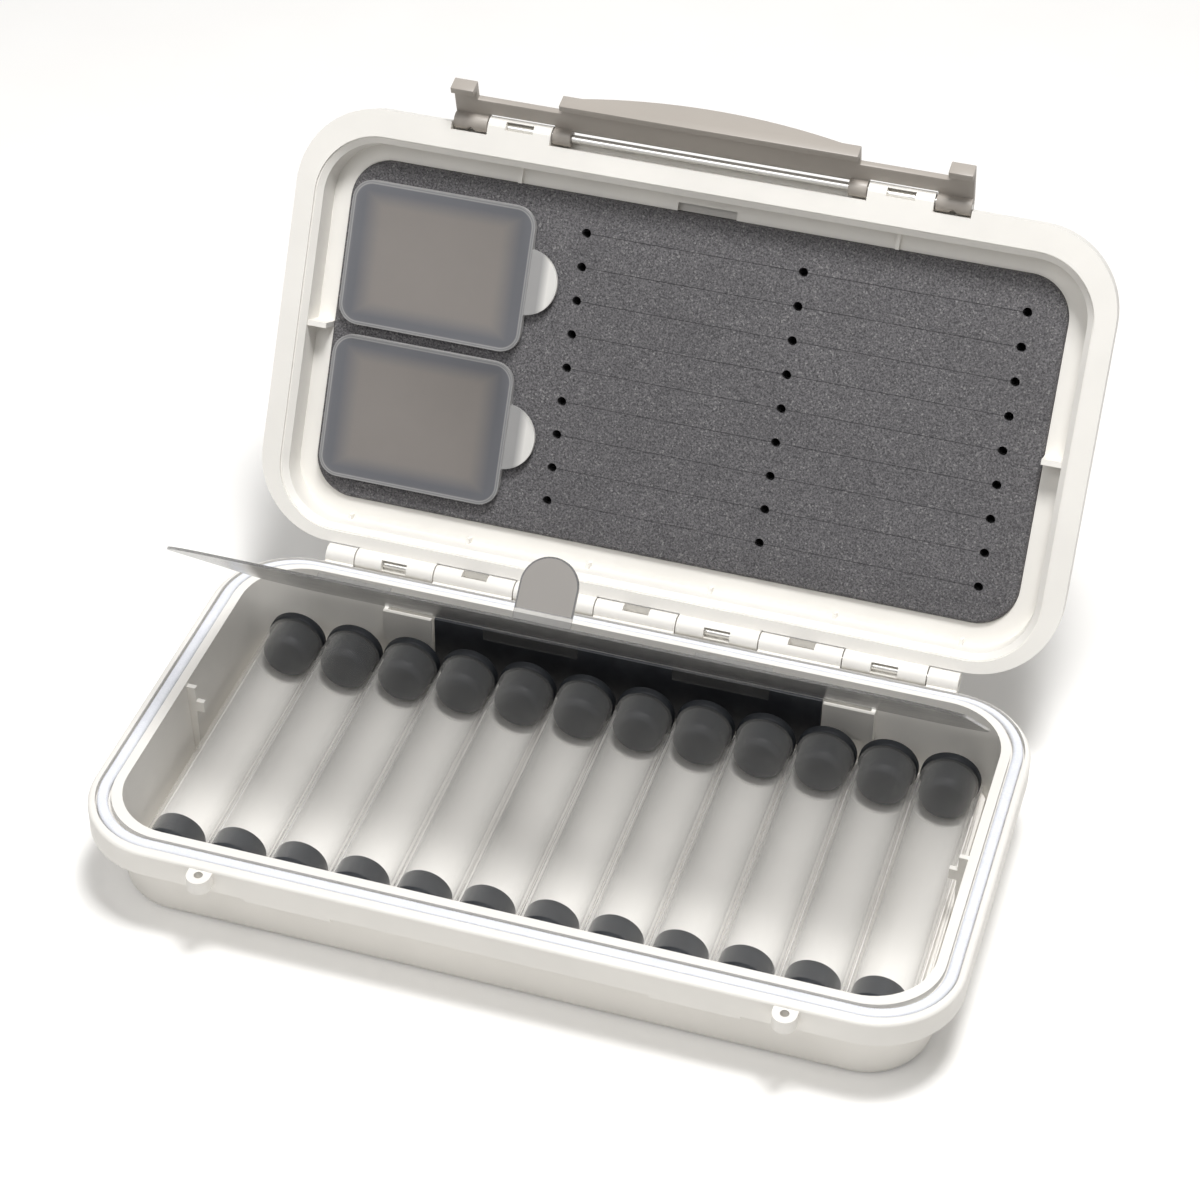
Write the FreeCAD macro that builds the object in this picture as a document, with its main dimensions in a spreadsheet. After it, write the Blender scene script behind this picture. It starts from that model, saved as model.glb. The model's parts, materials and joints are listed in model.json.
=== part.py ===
import FreeCAD, Part
import os
import Sketcher
from FreeCAD import Placement, Rotation, Vector

# Waterproof fly case, shown open. The tub stands on its flat bottom.
# X runs along the case, Y to the hinge at the rear, Z up.
# The origin is the middle of the tub's bottom face.

# Driving sizes, in millimetres and degrees
SIZES = {
    # Tub
    "rim_side_width": 7.0,
    "rim_front_width": 7.6,
    "tub_height": 24.5,
    "rim_corner": 20.0,
    "rim_depth": 6.5,
    "cavity_width": 94.8,
    "cavity_corner": 14.5,
    "cavity_draft": 0.9,
    "tub_wall": 2.2,
    "tub_floor": 1.5,
    "tub_draft": 1.6,
    "foot_round": 3.0,
    "edge_round": 0.9,
    # Seal
    "lip_width": 2.2,
    "lip_rear": 1.4,
    "gasket_width": 3.3,
    "gasket_rear": 2.3,
    "gasket_depth": 1.8,
    "gasket_round": 0.9,
    # Hinge
    "hinge_offset": 7.1,
    "barrel_radius": 2.5,
    "hinge_pin_radius": 1.0,
    "pin_clearance": 0.05,
    "pin_chamfer": 0.2,
    "knuckle_length": 20.3,
    "end_knuckle_length": 7.4,
    "knuckle_gap": 0.3,
    "hinge_gap": 0.3,
    "web_reach": 0.5,
    "window_length": 6.4,
    "window_depth": 1.3,
    "lid_open": 117.9,
    # Eyelets and catches on the front of the tub
    "eyelet_spacing": 131.0,
    "eyelet_radius": 2.7,
    "eyelet_hole_radius": 1.0,
    "eyelet_reach": 1.4,
    "eyelet_height": 3.4,
    "eyelet_drop": 0.8,
    "catch_inner": 35.8,
    "catch_length": 20.0,
    "catch_depth": 0.8,
    "catch_width": 3.0,
    # Stepped ribs on the end walls
    "rib_thickness": 1.2,
    "rib_upper_reach": 2.2,
    "rib_lower_reach": 4.1,
    "rib_upper_drop": 1.0,
    "rib_sink": 0.8,
    # Brackets on the rear wall
    "bracket_inner": 48.7,
    "bracket_length": 12.3,
    "bracket_thickness": 1.0,
    "bracket_gap": 3.0,
    "bracket_drop": 6.0,
    "bracket_height": 8.9,
    # Vials
    "vial_pitch": 14.75,
    "vial_radius": 6.95,
    "vial_wall": 0.7,
    "vial_front_room": 8.6,
    "vial_rear_room": 10.0,
    "vial_axis_height": 9.5,
    "plug_clearance": 0.05,
    "stopper_flange_radius": 7.15,
    "stopper_flange_thickness": 2.2,
    "stopper_plug_length": 7.6,
    "stopper_dome_radius": 8.0,
    "end_cap_thickness": 1.2,
    "end_cap_plug_length": 6.3,
    "end_cap_recess_radius": 4.6,
    "end_cap_recess_depth": 0.5,
    # Rack
    "trough_radius": 7.4,
    "trough_step": 0.2,
    "trough_step_room": 17.9,
    "ridge_drop": 1.6,
    "rail_width": 1.2,
    "rail_height": 3.0,
    "rack_front_room": 2.0,
    "rack_rear_room": 6.4,
    "rack_side_room": 4.0,
    "rack_clearance": 0.2,
    # Inner cover and the strip that carries it
    "strip_half_length": 48.2,
    "strip_thickness": 0.9,
    "strip_gap": 1.9,
    "strip_drop": 6.2,
    "strip_foot": 3.0,
    "cover_axis_gap": 2.4,
    "cover_axis_drop": 4.9,
    "cover_side_gap": 3.1,
    "cover_front_gap": 4.2,
    "cover_thickness": 0.6,
    "cover_corner": 16.0,
    "cover_crease": 0.5,
    "cover_open": 44.0,
    "finger_tab_width": 12.8,
    "finger_tab_height": 14.2,
    "finger_tab_inset": 1.0,
    "cover_lip_inner": 33.5,
    "cover_lip_length": 16.5,
    "cover_lip_height": 1.4,
    "leaf_inner": 11.8,
    "leaf_length": 23.7,
    "leaf_thickness": 0.6,
    "leaf_height": 3.4,
    "leaf_drop": 5.4,
    "leaf_gap": 0.1,
    # Lid
    "lid_side_inset": 0.5,
    "lid_front_inset": 1.1,
    "lid_rim_depth": 6.0,
    "lid_rim_gap": 0.15,
    "lid_height": 22.5,
    "lid_top_wall": 1.9,
    "lid_shoulder": 4.1,
    "lid_draft": 2.6,
    "lid_top_round": 4.5,
    "rebate_side_margin": 1.7,
    "rebate_front_margin": 0.1,
    "rebate_rear_margin": 1.5,
    "rebate_corner": 15.5,
    "rebate_depth": 0.6,
    "lid_ridge_inset": 0.3,
    "lid_ridge_width": 1.4,
    "lid_ridge_drop": 1.3,
    "lid_wall_draft": 0.5,
    "lid_ledge_drop": 8.6,
    "lid_rib_thickness": 0.9,
    "lid_rib_reach": 1.1,
    "lid_rib_height": 2.6,
    "lid_rib_sink": 0.3,
    "lid_rib_spacing": 30.6,
    "side_rib_thickness": 1.3,
    "side_rib_drop": 2.6,
    "tab_room": 0.8,
    # Foam
    "foam_side_room": 4.9,
    "foam_room": 5.9,
    "foam_corner": 10.0,
    "foam_round": 1.0,
    "foam_drop": 7.3,
    "foam_clearance": 0.1,
    "foam_hole_radius": 1.15,
    "foam_hole_depth": 8.0,
    "foam_slit_width": 0.3,
    "foam_slit_depth": 6.0,
    "foam_row_pitch": 8.16,
    "foam_column_pitch": 53.0,
    "foam_column_centre": 25.1,
    # Compartments in the foam
    "box_length": 44.6,
    "box_width": 33.6,
    "box_corner": 5.0,
    "box_depth": 10.4,
    "box_wall": 1.0,
    "box_collar": 0.8,
    "box_collar_width": 0.8,
    "box_clearance": 0.2,
    "box_gap": 4.2,
    "box_edge_gap": 2.3,
    "box_lid_thickness": 1.3,
    "box_lid_gap": 0.1,
    "box_lid_recess": 0.4,
    "box_lid_border": 1.9,
    "box_tab_radius": 8.0,
    "box_tab_reach": 7.2,
    # Latch
    "latch_pin_lift": 2.5,
    "latch_pin_inset": 0.5,
    "latch_pin_radius": 1.0,
    "latch_barrel_radius": 2.1,
    "latch_open": 49.0,
    "latch_inner_barrel": 33.4,
    "latch_inner_barrel_length": 4.4,
    "latch_outer_barrel": 53.9,
    "latch_outer_barrel_length": 8.3,
    "latch_gap": 0.3,
    "latch_drop": 11.0,
    "latch_thickness": 1.7,
    "latch_standoff": 0.8,
    "latch_panel_half_length": 35.6,
    "latch_panel_start": 1.2,
    "latch_bar_start": 2.4,
    "latch_bar_end": 6.6,
    "latch_ear_length": 5.7,
    "latch_hook_reach": 2.0,
    "latch_hook_thickness": 1.7,
    "grip_half_length": 31.0,
    "grip_reach": 3.4,
    "grip_thickness": 1.8,
    "latch_window_length": 6.8,
    "latch_window_width": 2.8,
    "ear_hole_radius": 0.8,
    "overrun": 5.0,
}

VIALS = 12
FOAM_ROWS = 9
FOAM_COLUMNS = 3
LID_RIB_SHARES = (-2.5, -1.5, -0.5, 0.5, 1.5, 2.5)
TOP_RIB_SHARES = (-1.5, 1.5)

doc = FreeCAD.newDocument("FlyCase")
sheet = doc.addObject("Spreadsheet::Sheet", "Sizes")
for row, (alias, number) in enumerate(SIZES.items(), start=1):
    sheet.set("A%d" % row, alias)
    sheet.set("B%d" % row, str(number))
    sheet.setAlias("B%d" % row, alias)
doc.recompute()


class Size:
    """A size with the sheet expression that gives it."""

    def __init__(self, number, text):
        self.number = float(number)
        self.text = text

    def __add__(self, other):
        other = size(other)
        return Size(self.number + other.number, "(%s + %s)" % (self.text, other.text))

    def __sub__(self, other):
        other = size(other)
        return Size(self.number - other.number, "(%s - %s)" % (self.text, other.text))

    def __mul__(self, other):
        other = size(other)
        return Size(self.number * other.number, "(%s * %s)" % (self.text, other.text))

    def __truediv__(self, other):
        other = size(other)
        return Size(self.number / other.number, "(%s / %s)" % (self.text, other.text))

    def __radd__(self, other):
        return size(other) + self

    def __rsub__(self, other):
        return size(other) - self

    def __rmul__(self, other):
        return size(other) * self

    def __neg__(self):
        return size(0) - self


def size(value):
    return value if isinstance(value, Size) else Size(value, repr(float(value)))


class Named:
    """The cells of the sheet, each under its alias."""

    def __getattr__(self, alias):
        return Size(sheet.get(alias), "Sizes." + alias)


s = Named()


def bind(piece, prop, value):
    piece.setExpression(prop, size(value).text)


def block(name, low, high):
    piece = doc.addObject("Part::Box", name)
    for prop, start, end in zip(("Length", "Width", "Height"), low, high):
        bind(piece, prop, end - start)
    for axis, start in zip("xyz", low):
        bind(piece, "Placement.Base." + axis, start)
    return piece


TURNS = {
    "x": Rotation(Vector(0, 1, 0), 90),
    "y": Rotation(Vector(1, 0, 0), -90),
    "z": Rotation(),
}


def rod(name, along, start, length, radius):
    piece = doc.addObject("Part::Cylinder", name)
    piece.Placement = Placement(Vector(), TURNS[along])
    bind(piece, "Radius", radius)
    bind(piece, "Height", length)
    for axis, place in zip("xyz", start):
        bind(piece, "Placement.Base." + axis, place)
    return piece


def fuse(name, pieces):
    joined = doc.addObject("Part::MultiFuse", name)
    joined.Shapes = pieces
    return joined


def cut(name, base, tools):
    removed = doc.addObject("Part::Cut", name)
    removed.Base = base
    removed.Tool = tools[0] if len(tools) == 1 else fuse(name + "_tools", tools)
    return removed


def origin_plane(body, role):
    for feature in body.Origin.OriginFeatures:
        if feature.Role == role:
            return feature


def new_sketch(body, name, level):
    sketch = body.newObject("Sketcher::SketchObject", name)
    sketch.AttachmentSupport = [(origin_plane(body, "XY_Plane"), "")]
    sketch.MapMode = "FlatFace"
    bind(sketch, "AttachmentOffset.Base.z", level)
    return sketch


def add_round_rectangle(sketch, tag, x_low, x_high, y_low, y_high, corner):
    """A rectangle with round corners, held by its four sides and one radius."""
    left, right, front, rear, radius = (v.number for v in (x_low, x_high, y_low, y_high, corner))
    line = Part.LineSegment
    arc = Part.ArcOfCircle
    up = Vector(0, 0, 1)
    half_turn = FreeCAD.Units.Quantity("180 deg").getValueAs("rad").Value
    quarter = half_turn / 2
    first = sketch.GeometryCount
    sketch.addGeometry([
        line(Vector(left + radius, front), Vector(right - radius, front)),
        line(Vector(right, front + radius), Vector(right, rear - radius)),
        line(Vector(right - radius, rear), Vector(left + radius, rear)),
        line(Vector(left, rear - radius), Vector(left, front + radius)),
        arc(Part.Circle(Vector(right - radius, front + radius), up, radius), -quarter, 0),
        arc(Part.Circle(Vector(right - radius, rear - radius), up, radius), 0, quarter),
        arc(Part.Circle(Vector(left + radius, rear - radius), up, radius), quarter, half_turn),
        arc(Part.Circle(Vector(left + radius, front + radius), up, radius), half_turn, half_turn + quarter),
    ])
    front_line, right_line, rear_line, left_line = range(first, first + 4)
    arcs = range(first + 4, first + 8)
    joints = (
        (front_line, 2, arcs[0], 1), (arcs[0], 2, right_line, 1),
        (right_line, 2, arcs[1], 1), (arcs[1], 2, rear_line, 1),
        (rear_line, 2, arcs[2], 1), (arcs[2], 2, left_line, 1),
        (left_line, 2, arcs[3], 1), (arcs[3], 2, front_line, 1),
    )
    for joint in joints:
        sketch.addConstraint(Sketcher.Constraint("Tangent", *joint))
    for flat in (front_line, rear_line):
        sketch.addConstraint(Sketcher.Constraint("Horizontal", flat))
    for upright in (right_line, left_line):
        sketch.addConstraint(Sketcher.Constraint("Vertical", upright))
    for other in arcs[1:]:
        sketch.addConstraint(Sketcher.Constraint("Equal", arcs[0], other))
    held = (
        ("DistanceX", right_line, x_high, "right"),
        ("DistanceX", left_line, x_low, "left"),
        ("DistanceY", front_line, y_low, "front"),
        ("DistanceY", rear_line, y_high, "rear"),
    )
    for kind, side, place, word in held:
        index = sketch.addConstraint(Sketcher.Constraint(kind, -1, 1, side, 1, place.number))
        sketch.renameConstraint(index, tag + "_" + word)
        bind(sketch, "Constraints." + tag + "_" + word, place)
    index = sketch.addConstraint(Sketcher.Constraint("Radius", arcs[0], radius))
    sketch.renameConstraint(index, tag + "_corner")
    bind(sketch, "Constraints." + tag + "_corner", corner)


def outline(body, name, level, *frames):
    sketch = new_sketch(body, name, level)
    for number, frame in enumerate(frames):
        add_round_rectangle(sketch, "frame%d" % number, *frame)
    return sketch


def frame_of(length, front, rear, corner, inset=0):
    """Sides and corner of a rectangle centred along X, drawn in by an inset."""
    return (inset - length / 2, length / 2 - inset, inset - front, rear - inset, corner - inset)


def pad(body, name, sketch, height):
    feature = body.newObject("PartDesign::Pad", name)
    feature.Profile = sketch
    bind(feature, "Length", height)
    return feature


def pocket(body, name, sketch, depth):
    """Cuts downwards from the sketch."""
    feature = body.newObject("PartDesign::Pocket", name)
    feature.Profile = sketch
    bind(feature, "Length", depth)
    return feature


def loft(body, kind, name, sketches):
    feature = body.newObject("PartDesign::" + kind, name)
    feature.Profile = sketches[0]
    feature.Sections = list(sketches[1:])
    feature.Ruled = True
    return feature


def edges_at(shape, level, tolerance=1e-4):
    """Names of the edges that lie flat at a level."""
    names = []
    for number, edge in enumerate(shape.Edges, start=1):
        box = edge.BoundBox
        if abs(box.ZMin - level) < tolerance and abs(box.ZMax - level) < tolerance:
            names.append("Edge%d" % number)
    return names


def round_edges(body, name, level, radius):
    """Rounds every edge of the body that lies flat at a level."""
    doc.recompute()
    base = body.Tip
    feature = body.newObject("PartDesign::Fillet", name)
    feature.Base = (base, edges_at(base.Shape, level.number))
    bind(feature, "Radius", radius)
    return feature


# Lengths and places that follow from the driving sizes
rim_top = s.tub_height
cavity_length = s.vial_pitch * VIALS + 2 * s.rack_side_room
cavity_half = cavity_length / 2
cavity_side = s.cavity_width / 2
tub_length = cavity_length + 2 * s.rim_side_width
tub_front = cavity_side + s.rim_front_width
hinge_setback = cavity_side + s.hinge_offset
tub_rear = hinge_setback - s.barrel_radius - s.hinge_gap
knuckle_end = s.knuckle_length * 3.5
bracket_setback = cavity_side - s.bracket_gap
vial_front = cavity_side - s.vial_front_room
vial_rear = cavity_side - s.vial_rear_room
rack_front = cavity_side - s.rack_front_room
rack_rear = cavity_side - s.rack_rear_room
trough_step_setback = cavity_side - s.trough_step_room
strip_setback = cavity_side - s.strip_gap
cover_axis_setback = cavity_side - s.cover_axis_gap
cover_length = cavity_length - 2 * s.cover_side_gap
cover_width = cover_axis_setback + cavity_side - s.cover_front_gap
lid_length = tub_length - 2 * s.lid_side_inset
lid_front = tub_front - s.lid_front_inset
rebate_length = cavity_length + 2 * s.rebate_side_margin
rebate_front = cavity_side + s.rebate_front_margin
rebate_rear = cavity_side + s.rebate_rear_margin
lid_wall_inset = s.lid_ridge_inset + s.lid_ridge_width
ledge_inset = lid_wall_inset + s.lid_wall_draft
foam_length = cavity_length - 2 * s.foam_side_room
foam_width = s.cavity_width - 2 * s.foam_room
box_centre = foam_length / 2 - s.box_edge_gap - s.box_length / 2

sub_parts = {}


def finish(name, piece, place=None):
    """Names a sub-part and gives it its place."""
    piece.Label = name
    sub_parts[name] = piece
    if place is not None:
        piece.Placement = place
    return piece


def knuckle(name, x_low, x_high, web_low, web_high, toward):
    """Barrel about the hinge axis with a web to its shell, in the axis's own frame."""
    length = x_high - x_low
    barrel = rod(name + "_barrel", "x", (x_low, size(0), size(0)), length, s.barrel_radius)
    reach = s.barrel_radius + s.hinge_gap + s.web_reach
    low_y, high_y = (-reach, size(0)) if toward < 0 else (size(0), reach)
    web = block(name + "_web", (x_low, low_y, web_low), (x_high, high_y, web_high))
    return [barrel, web]


def spans(first, count):
    """Ends along X of the knuckles of one shell: every second place of the row."""
    ends = []
    for number in range(count):
        low = s.knuckle_length * (first + 2 * number) + s.knuckle_gap / 2
        ends.append((low, low + s.knuckle_length - s.knuckle_gap))
    return ends


TUB_SPANS = spans(-2.5, 1) + spans(-0.5, 1) + spans(1.5, 1)
TUB_SPANS.append((knuckle_end + s.knuckle_gap / 2, knuckle_end + s.end_knuckle_length))
TUB_SPANS.append((-knuckle_end - s.end_knuckle_length, -knuckle_end - s.knuckle_gap / 2))
LID_SPANS = spans(-3.5, 4)


def windows(name, ends, depth_low, depth_high):
    """Small openings through the barrels where the pin shows."""
    cuts = []
    for number, (low, high) in enumerate(ends):
        middle = (low + high) / 2
        half = s.window_length / 2
        cuts.append(block("%s_%d" % (name, number),
                          (middle - half, -s.window_depth, depth_low),
                          (middle + half, s.window_depth, depth_high)))
    return cuts


def tub_shell():
    body = doc.addObject("PartDesign::Body", "tub_body")
    outer_front = cavity_side + s.tub_wall
    foot = outline(body, "foot_outline", size(0),
                   frame_of(cavity_length + 2 * s.tub_wall, outer_front, outer_front,
                            s.cavity_corner + s.tub_wall, s.tub_draft))
    neck = outline(body, "neck_outline", rim_top - s.rim_depth,
                   frame_of(cavity_length + 2 * s.tub_wall, outer_front, outer_front,
                            s.cavity_corner + s.tub_wall))
    loft(body, "AdditiveLoft", "tub_wall_loft", (foot, neck))
    round_edges(body, "foot_fillet", size(0), s.foot_round)
    rim = outline(body, "rim_outline", rim_top - s.rim_depth,
                  frame_of(tub_length, tub_front, tub_rear, s.rim_corner))
    pad(body, "rim_pad", rim, s.rim_depth)
    round_edges(body, "rim_fillet", rim_top, s.edge_round)
    floor = outline(body, "floor_outline", s.tub_floor,
                    frame_of(cavity_length, cavity_side, cavity_side, s.cavity_corner, s.cavity_draft))
    mouth = outline(body, "mouth_outline", rim_top,
                    frame_of(cavity_length, cavity_side, cavity_side, s.cavity_corner))
    loft(body, "SubtractiveLoft", "cavity_loft", (floor, mouth))
    pocket(body, "gasket_groove", gasket_outline(body, "groove_outline", size(0)), s.gasket_depth)

    added = []
    for side, word in ((-1, "left"), (1, "right")):
        x_place = side * s.eyelet_spacing / 2
        eyelet_front = -tub_front - s.eyelet_reach
        top = rim_top - s.eyelet_drop
        ring = rod("eyelet_ring_" + word, "z", (x_place, eyelet_front, top - s.eyelet_height),
                   s.eyelet_height, s.eyelet_radius)
        root = block("eyelet_root_" + word,
                     (x_place - s.eyelet_radius, eyelet_front, top - s.eyelet_height),
                     (x_place + s.eyelet_radius, -tub_front + s.edge_round, top))
        bore = rod("eyelet_bore_" + word, "z",
                   (x_place, eyelet_front, top - s.eyelet_height - s.overrun),
                   s.eyelet_height + 2 * s.overrun, s.eyelet_hole_radius)
        added.append(cut("eyelet_" + word, fuse("eyelet_solid_" + word, [ring, root]), [bore]))
        catch_low = s.catch_inner if side > 0 else -s.catch_inner - s.catch_length
        under = rim_top - s.rim_depth
        added.append(block("catch_" + word,
                           (catch_low, -tub_front, under - s.catch_depth),
                           (catch_low + s.catch_length, -tub_front + s.catch_width, under)))
        added += end_rib(side, word) + rear_bracket(side, word)
    barrels = []
    for number, (low, high) in enumerate(TUB_SPANS):
        barrels += knuckle("tub_knuckle_%d" % number, low, high, -s.barrel_radius, -s.pin_clearance * 4, -1)
    pinned = fuse("tub_barrels", barrels)
    bore = rod("tub_pin_bore", "x", (-knuckle_end - s.end_knuckle_length - s.overrun, size(0), size(0)),
               2 * (knuckle_end + s.end_knuckle_length + s.overrun), s.hinge_pin_radius + s.pin_clearance)
    openings = windows("tub_window", TUB_SPANS[:3], size(0), s.barrel_radius)
    bored = cut("tub_knuckles", pinned, [bore] + openings)
    bind(bored, "Placement.Base.y", hinge_setback)
    bind(bored, "Placement.Base.z", rim_top)
    return finish("tub_shell", fuse("tub_shell", [body] + added + [bored]))


def end_rib(side, word):
    """Rib on an end wall, with one step near the rim and one that carries the cover."""
    half = s.rib_thickness / 2
    wall = cavity_half + s.rib_sink
    rail_top = s.tub_floor + s.rail_height
    lower_top = rim_top - s.cover_axis_drop - s.box_lid_gap
    pieces = []
    for step, reach, top in (("upper", s.rib_upper_reach, rim_top - s.rib_upper_drop),
                             ("lower", s.rib_lower_reach, lower_top)):
        inner = cavity_half - reach
        low, high = (inner, wall) if side > 0 else (-wall, -inner)
        foot = s.vial_axis_height + s.stopper_flange_radius if step == "lower" else rail_top
        pieces.append(block("rib_%s_%s" % (step, word), (low, -half, foot), (high, half, top)))
    return pieces


def rear_bracket(side, word):
    """Plate that stands off the rear wall, on a leg at its outer end."""
    inner = s.bracket_inner
    outer = inner + s.bracket_length
    top = rim_top - s.bracket_drop
    foot = top - s.bracket_height
    plate_rear = bracket_setback + s.bracket_thickness
    low, high = (inner, outer) if side > 0 else (-outer, -inner)
    leg_low = outer - s.bracket_thickness if side > 0 else -outer
    plate = block("bracket_plate_" + word, (low, bracket_setback, foot), (high, plate_rear, top))
    leg = block("bracket_leg_" + word, (leg_low, bracket_setback, foot),
                (leg_low + s.bracket_thickness, cavity_side + s.rib_sink, top))
    return [plate, leg]


def gasket_outline(body, name, clearance):
    """The ring that the seal fills, narrower along the hinge."""
    lip = s.lip_width + clearance
    rear_lip = s.lip_rear + clearance
    inner = (-cavity_half - lip, cavity_half + lip, -cavity_side - lip, cavity_side + rear_lip,
             s.cavity_corner + s.lip_rear)
    reach = s.lip_width + s.gasket_width - clearance
    rear_reach = s.lip_rear + s.gasket_rear - clearance
    outer = (-cavity_half - reach, cavity_half + reach, -cavity_side - reach, cavity_side + rear_reach,
             s.cavity_corner + rear_reach)
    return outline(body, name, rim_top, outer, inner)


def seal_gasket():
    body = doc.addObject("PartDesign::Body", "gasket_body")
    ring = gasket_outline(body, "gasket_ring", s.pin_clearance)
    feature = pad(body, "gasket_pad", ring, s.gasket_depth)
    feature.Reversed = True
    round_edges(body, "gasket_fillet", rim_top, s.gasket_round)
    return finish("seal_gasket", body)


def round_pin(name, half_length, radius):
    """Steel rod along X through the middle of its own frame, with chamfered ends."""
    body = doc.addObject("PartDesign::Body", name)
    sketch = body.newObject("Sketcher::SketchObject", name + "_circle")
    sketch.AttachmentSupport = [(origin_plane(body, "YZ_Plane"), "")]
    sketch.MapMode = "FlatFace"
    sketch.addGeometry(Part.Circle(Vector(), Vector(0, 0, 1), radius.number))
    sketch.addConstraint(Sketcher.Constraint("Coincident", 0, 3, -1, 1))
    index = sketch.addConstraint(Sketcher.Constraint("Radius", 0, radius.number))
    sketch.renameConstraint(index, "pin_radius")
    bind(sketch, "Constraints.pin_radius", radius)
    rod_pad = pad(body, name + "_pad", sketch, 2 * half_length)
    rod_pad.Midplane = True
    doc.recompute()
    ends = ["Edge%d" % number for number, edge in enumerate(rod_pad.Shape.Edges, start=1)
            if edge.BoundBox.XLength < edge.BoundBox.YLength / 2]
    chamfer = body.newObject("PartDesign::Chamfer", name + "_chamfer")
    chamfer.Base = (rod_pad, ends)
    bind(chamfer, "Size", s.pin_chamfer)
    return body


def hinge_pin():
    pin = round_pin("hinge_pin", knuckle_end + s.end_knuckle_length, s.hinge_pin_radius)
    bind(pin, "Placement.Base.y", hinge_setback)
    bind(pin, "Placement.Base.z", rim_top)
    return finish("hinge_pin", pin)


def vial_places():
    """Middle of each vial along X."""
    return [s.vial_pitch * (number - (VIALS - 1) / 2) for number in range(VIALS)]


def vial_rack():
    half = s.vial_pitch * VIALS / 2
    ridge_top = s.vial_axis_height - s.ridge_drop
    slab = block("rack_slab", (-half, -rack_front, s.tub_floor), (half, rack_rear, ridge_top))
    rails = block("rack_rails", (-half - s.rail_width, -rack_front, s.tub_floor),
                  (half + s.rail_width, rack_rear, s.tub_floor + s.rail_height))
    tools = []
    for number, x_place in enumerate(vial_places()):
        tools.append(rod("trough_%d" % number, "y",
                         (x_place, -rack_front - s.overrun, s.vial_axis_height),
                         rack_front + rack_rear + 2 * s.overrun, s.trough_radius))
        tools.append(rod("trough_end_%d" % number, "y",
                         (x_place, trough_step_setback, s.vial_axis_height),
                         rack_rear - trough_step_setback + s.overrun,
                         s.trough_radius + s.trough_step))
    body = doc.addObject("PartDesign::Body", "rack_room")
    room = frame_of(cavity_length, cavity_side, cavity_side, s.cavity_corner,
                    s.cavity_draft + s.rack_clearance)
    pad(body, "rack_room_pad", outline(body, "rack_room_outline", s.tub_floor, room), ridge_top)
    kept = doc.addObject("Part::Common", "rack_kept")
    kept.Base = fuse("rack_solid", [slab, rails])
    kept.Tool = body
    return finish("vial_rack", cut("vial_rack", kept, tools))


def vial(number, x_place):
    tag = "%02d" % (number + 1)
    height = s.vial_axis_height
    length = vial_front + vial_rear
    bore = s.vial_radius - s.vial_wall
    plug = bore - s.plug_clearance
    tube = rod("tube_outer_" + tag, "y", (x_place, -vial_front, height), length, s.vial_radius)
    hollow = rod("tube_bore_" + tag, "y", (x_place, -vial_front - s.overrun, height),
                 length + 2 * s.overrun, bore)
    finish("vial_tube_" + tag, cut("vial_tube_" + tag, tube, [hollow]))

    flange = rod("stopper_flange_" + tag, "y", (x_place, vial_rear, height),
                 s.stopper_flange_thickness, s.stopper_flange_radius)
    stem_length = s.stopper_plug_length + s.overrun
    stem = rod("stopper_stem_" + tag, "y", (x_place, vial_rear - stem_length, height), stem_length, plug)
    ball = doc.addObject("Part::Sphere", "stopper_ball_" + tag)
    bind(ball, "Radius", s.stopper_dome_radius)
    ball_centre = (x_place, vial_rear - s.stopper_plug_length + s.stopper_dome_radius, height)
    for axis, place in zip("xyz", ball_centre):
        bind(ball, "Placement.Base." + axis, place)
    dome = doc.addObject("Part::Common", "stopper_dome_" + tag)
    dome.Base = stem
    dome.Tool = ball
    finish("vial_stopper_" + tag, fuse("vial_stopper_" + tag, [flange, dome]))

    disc = rod("cap_disc_" + tag, "y", (x_place, -vial_front - s.end_cap_thickness, height),
               s.end_cap_thickness, s.vial_radius)
    insert = rod("cap_insert_" + tag, "y", (x_place, -vial_front, height), s.end_cap_plug_length, plug)
    recess = rod("cap_recess_" + tag, "y",
                 (x_place, -vial_front - s.end_cap_thickness - s.overrun, height),
                 s.overrun + s.end_cap_recess_depth, s.end_cap_recess_radius)
    finish("vial_end_cap_" + tag, cut("vial_end_cap_" + tag, fuse("cap_" + tag, [disc, insert]), [recess]))


def cover_strip():
    top = rim_top - s.strip_drop
    return finish("cover_strip", block("cover_strip",
                                       (-s.strip_half_length, strip_setback, s.strip_foot),
                                       (s.strip_half_length, strip_setback + s.strip_thickness, top)))


def cover_hinge_leaves():
    """Two clear tongues of the cover, held on the strip below the crease."""
    top = rim_top - s.leaf_drop
    rear = strip_setback - s.leaf_gap
    leaves = []
    for side, word in ((-1, "left"), (1, "right")):
        low = s.leaf_inner if side > 0 else -s.leaf_inner - s.leaf_length
        leaves.append(block("leaf_" + word, (low, rear - s.leaf_thickness, top - s.leaf_height),
                            (low + s.leaf_length, rear, top)))
    return finish("cover_hinge_leaves", fuse("cover_hinge_leaves", leaves))


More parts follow.
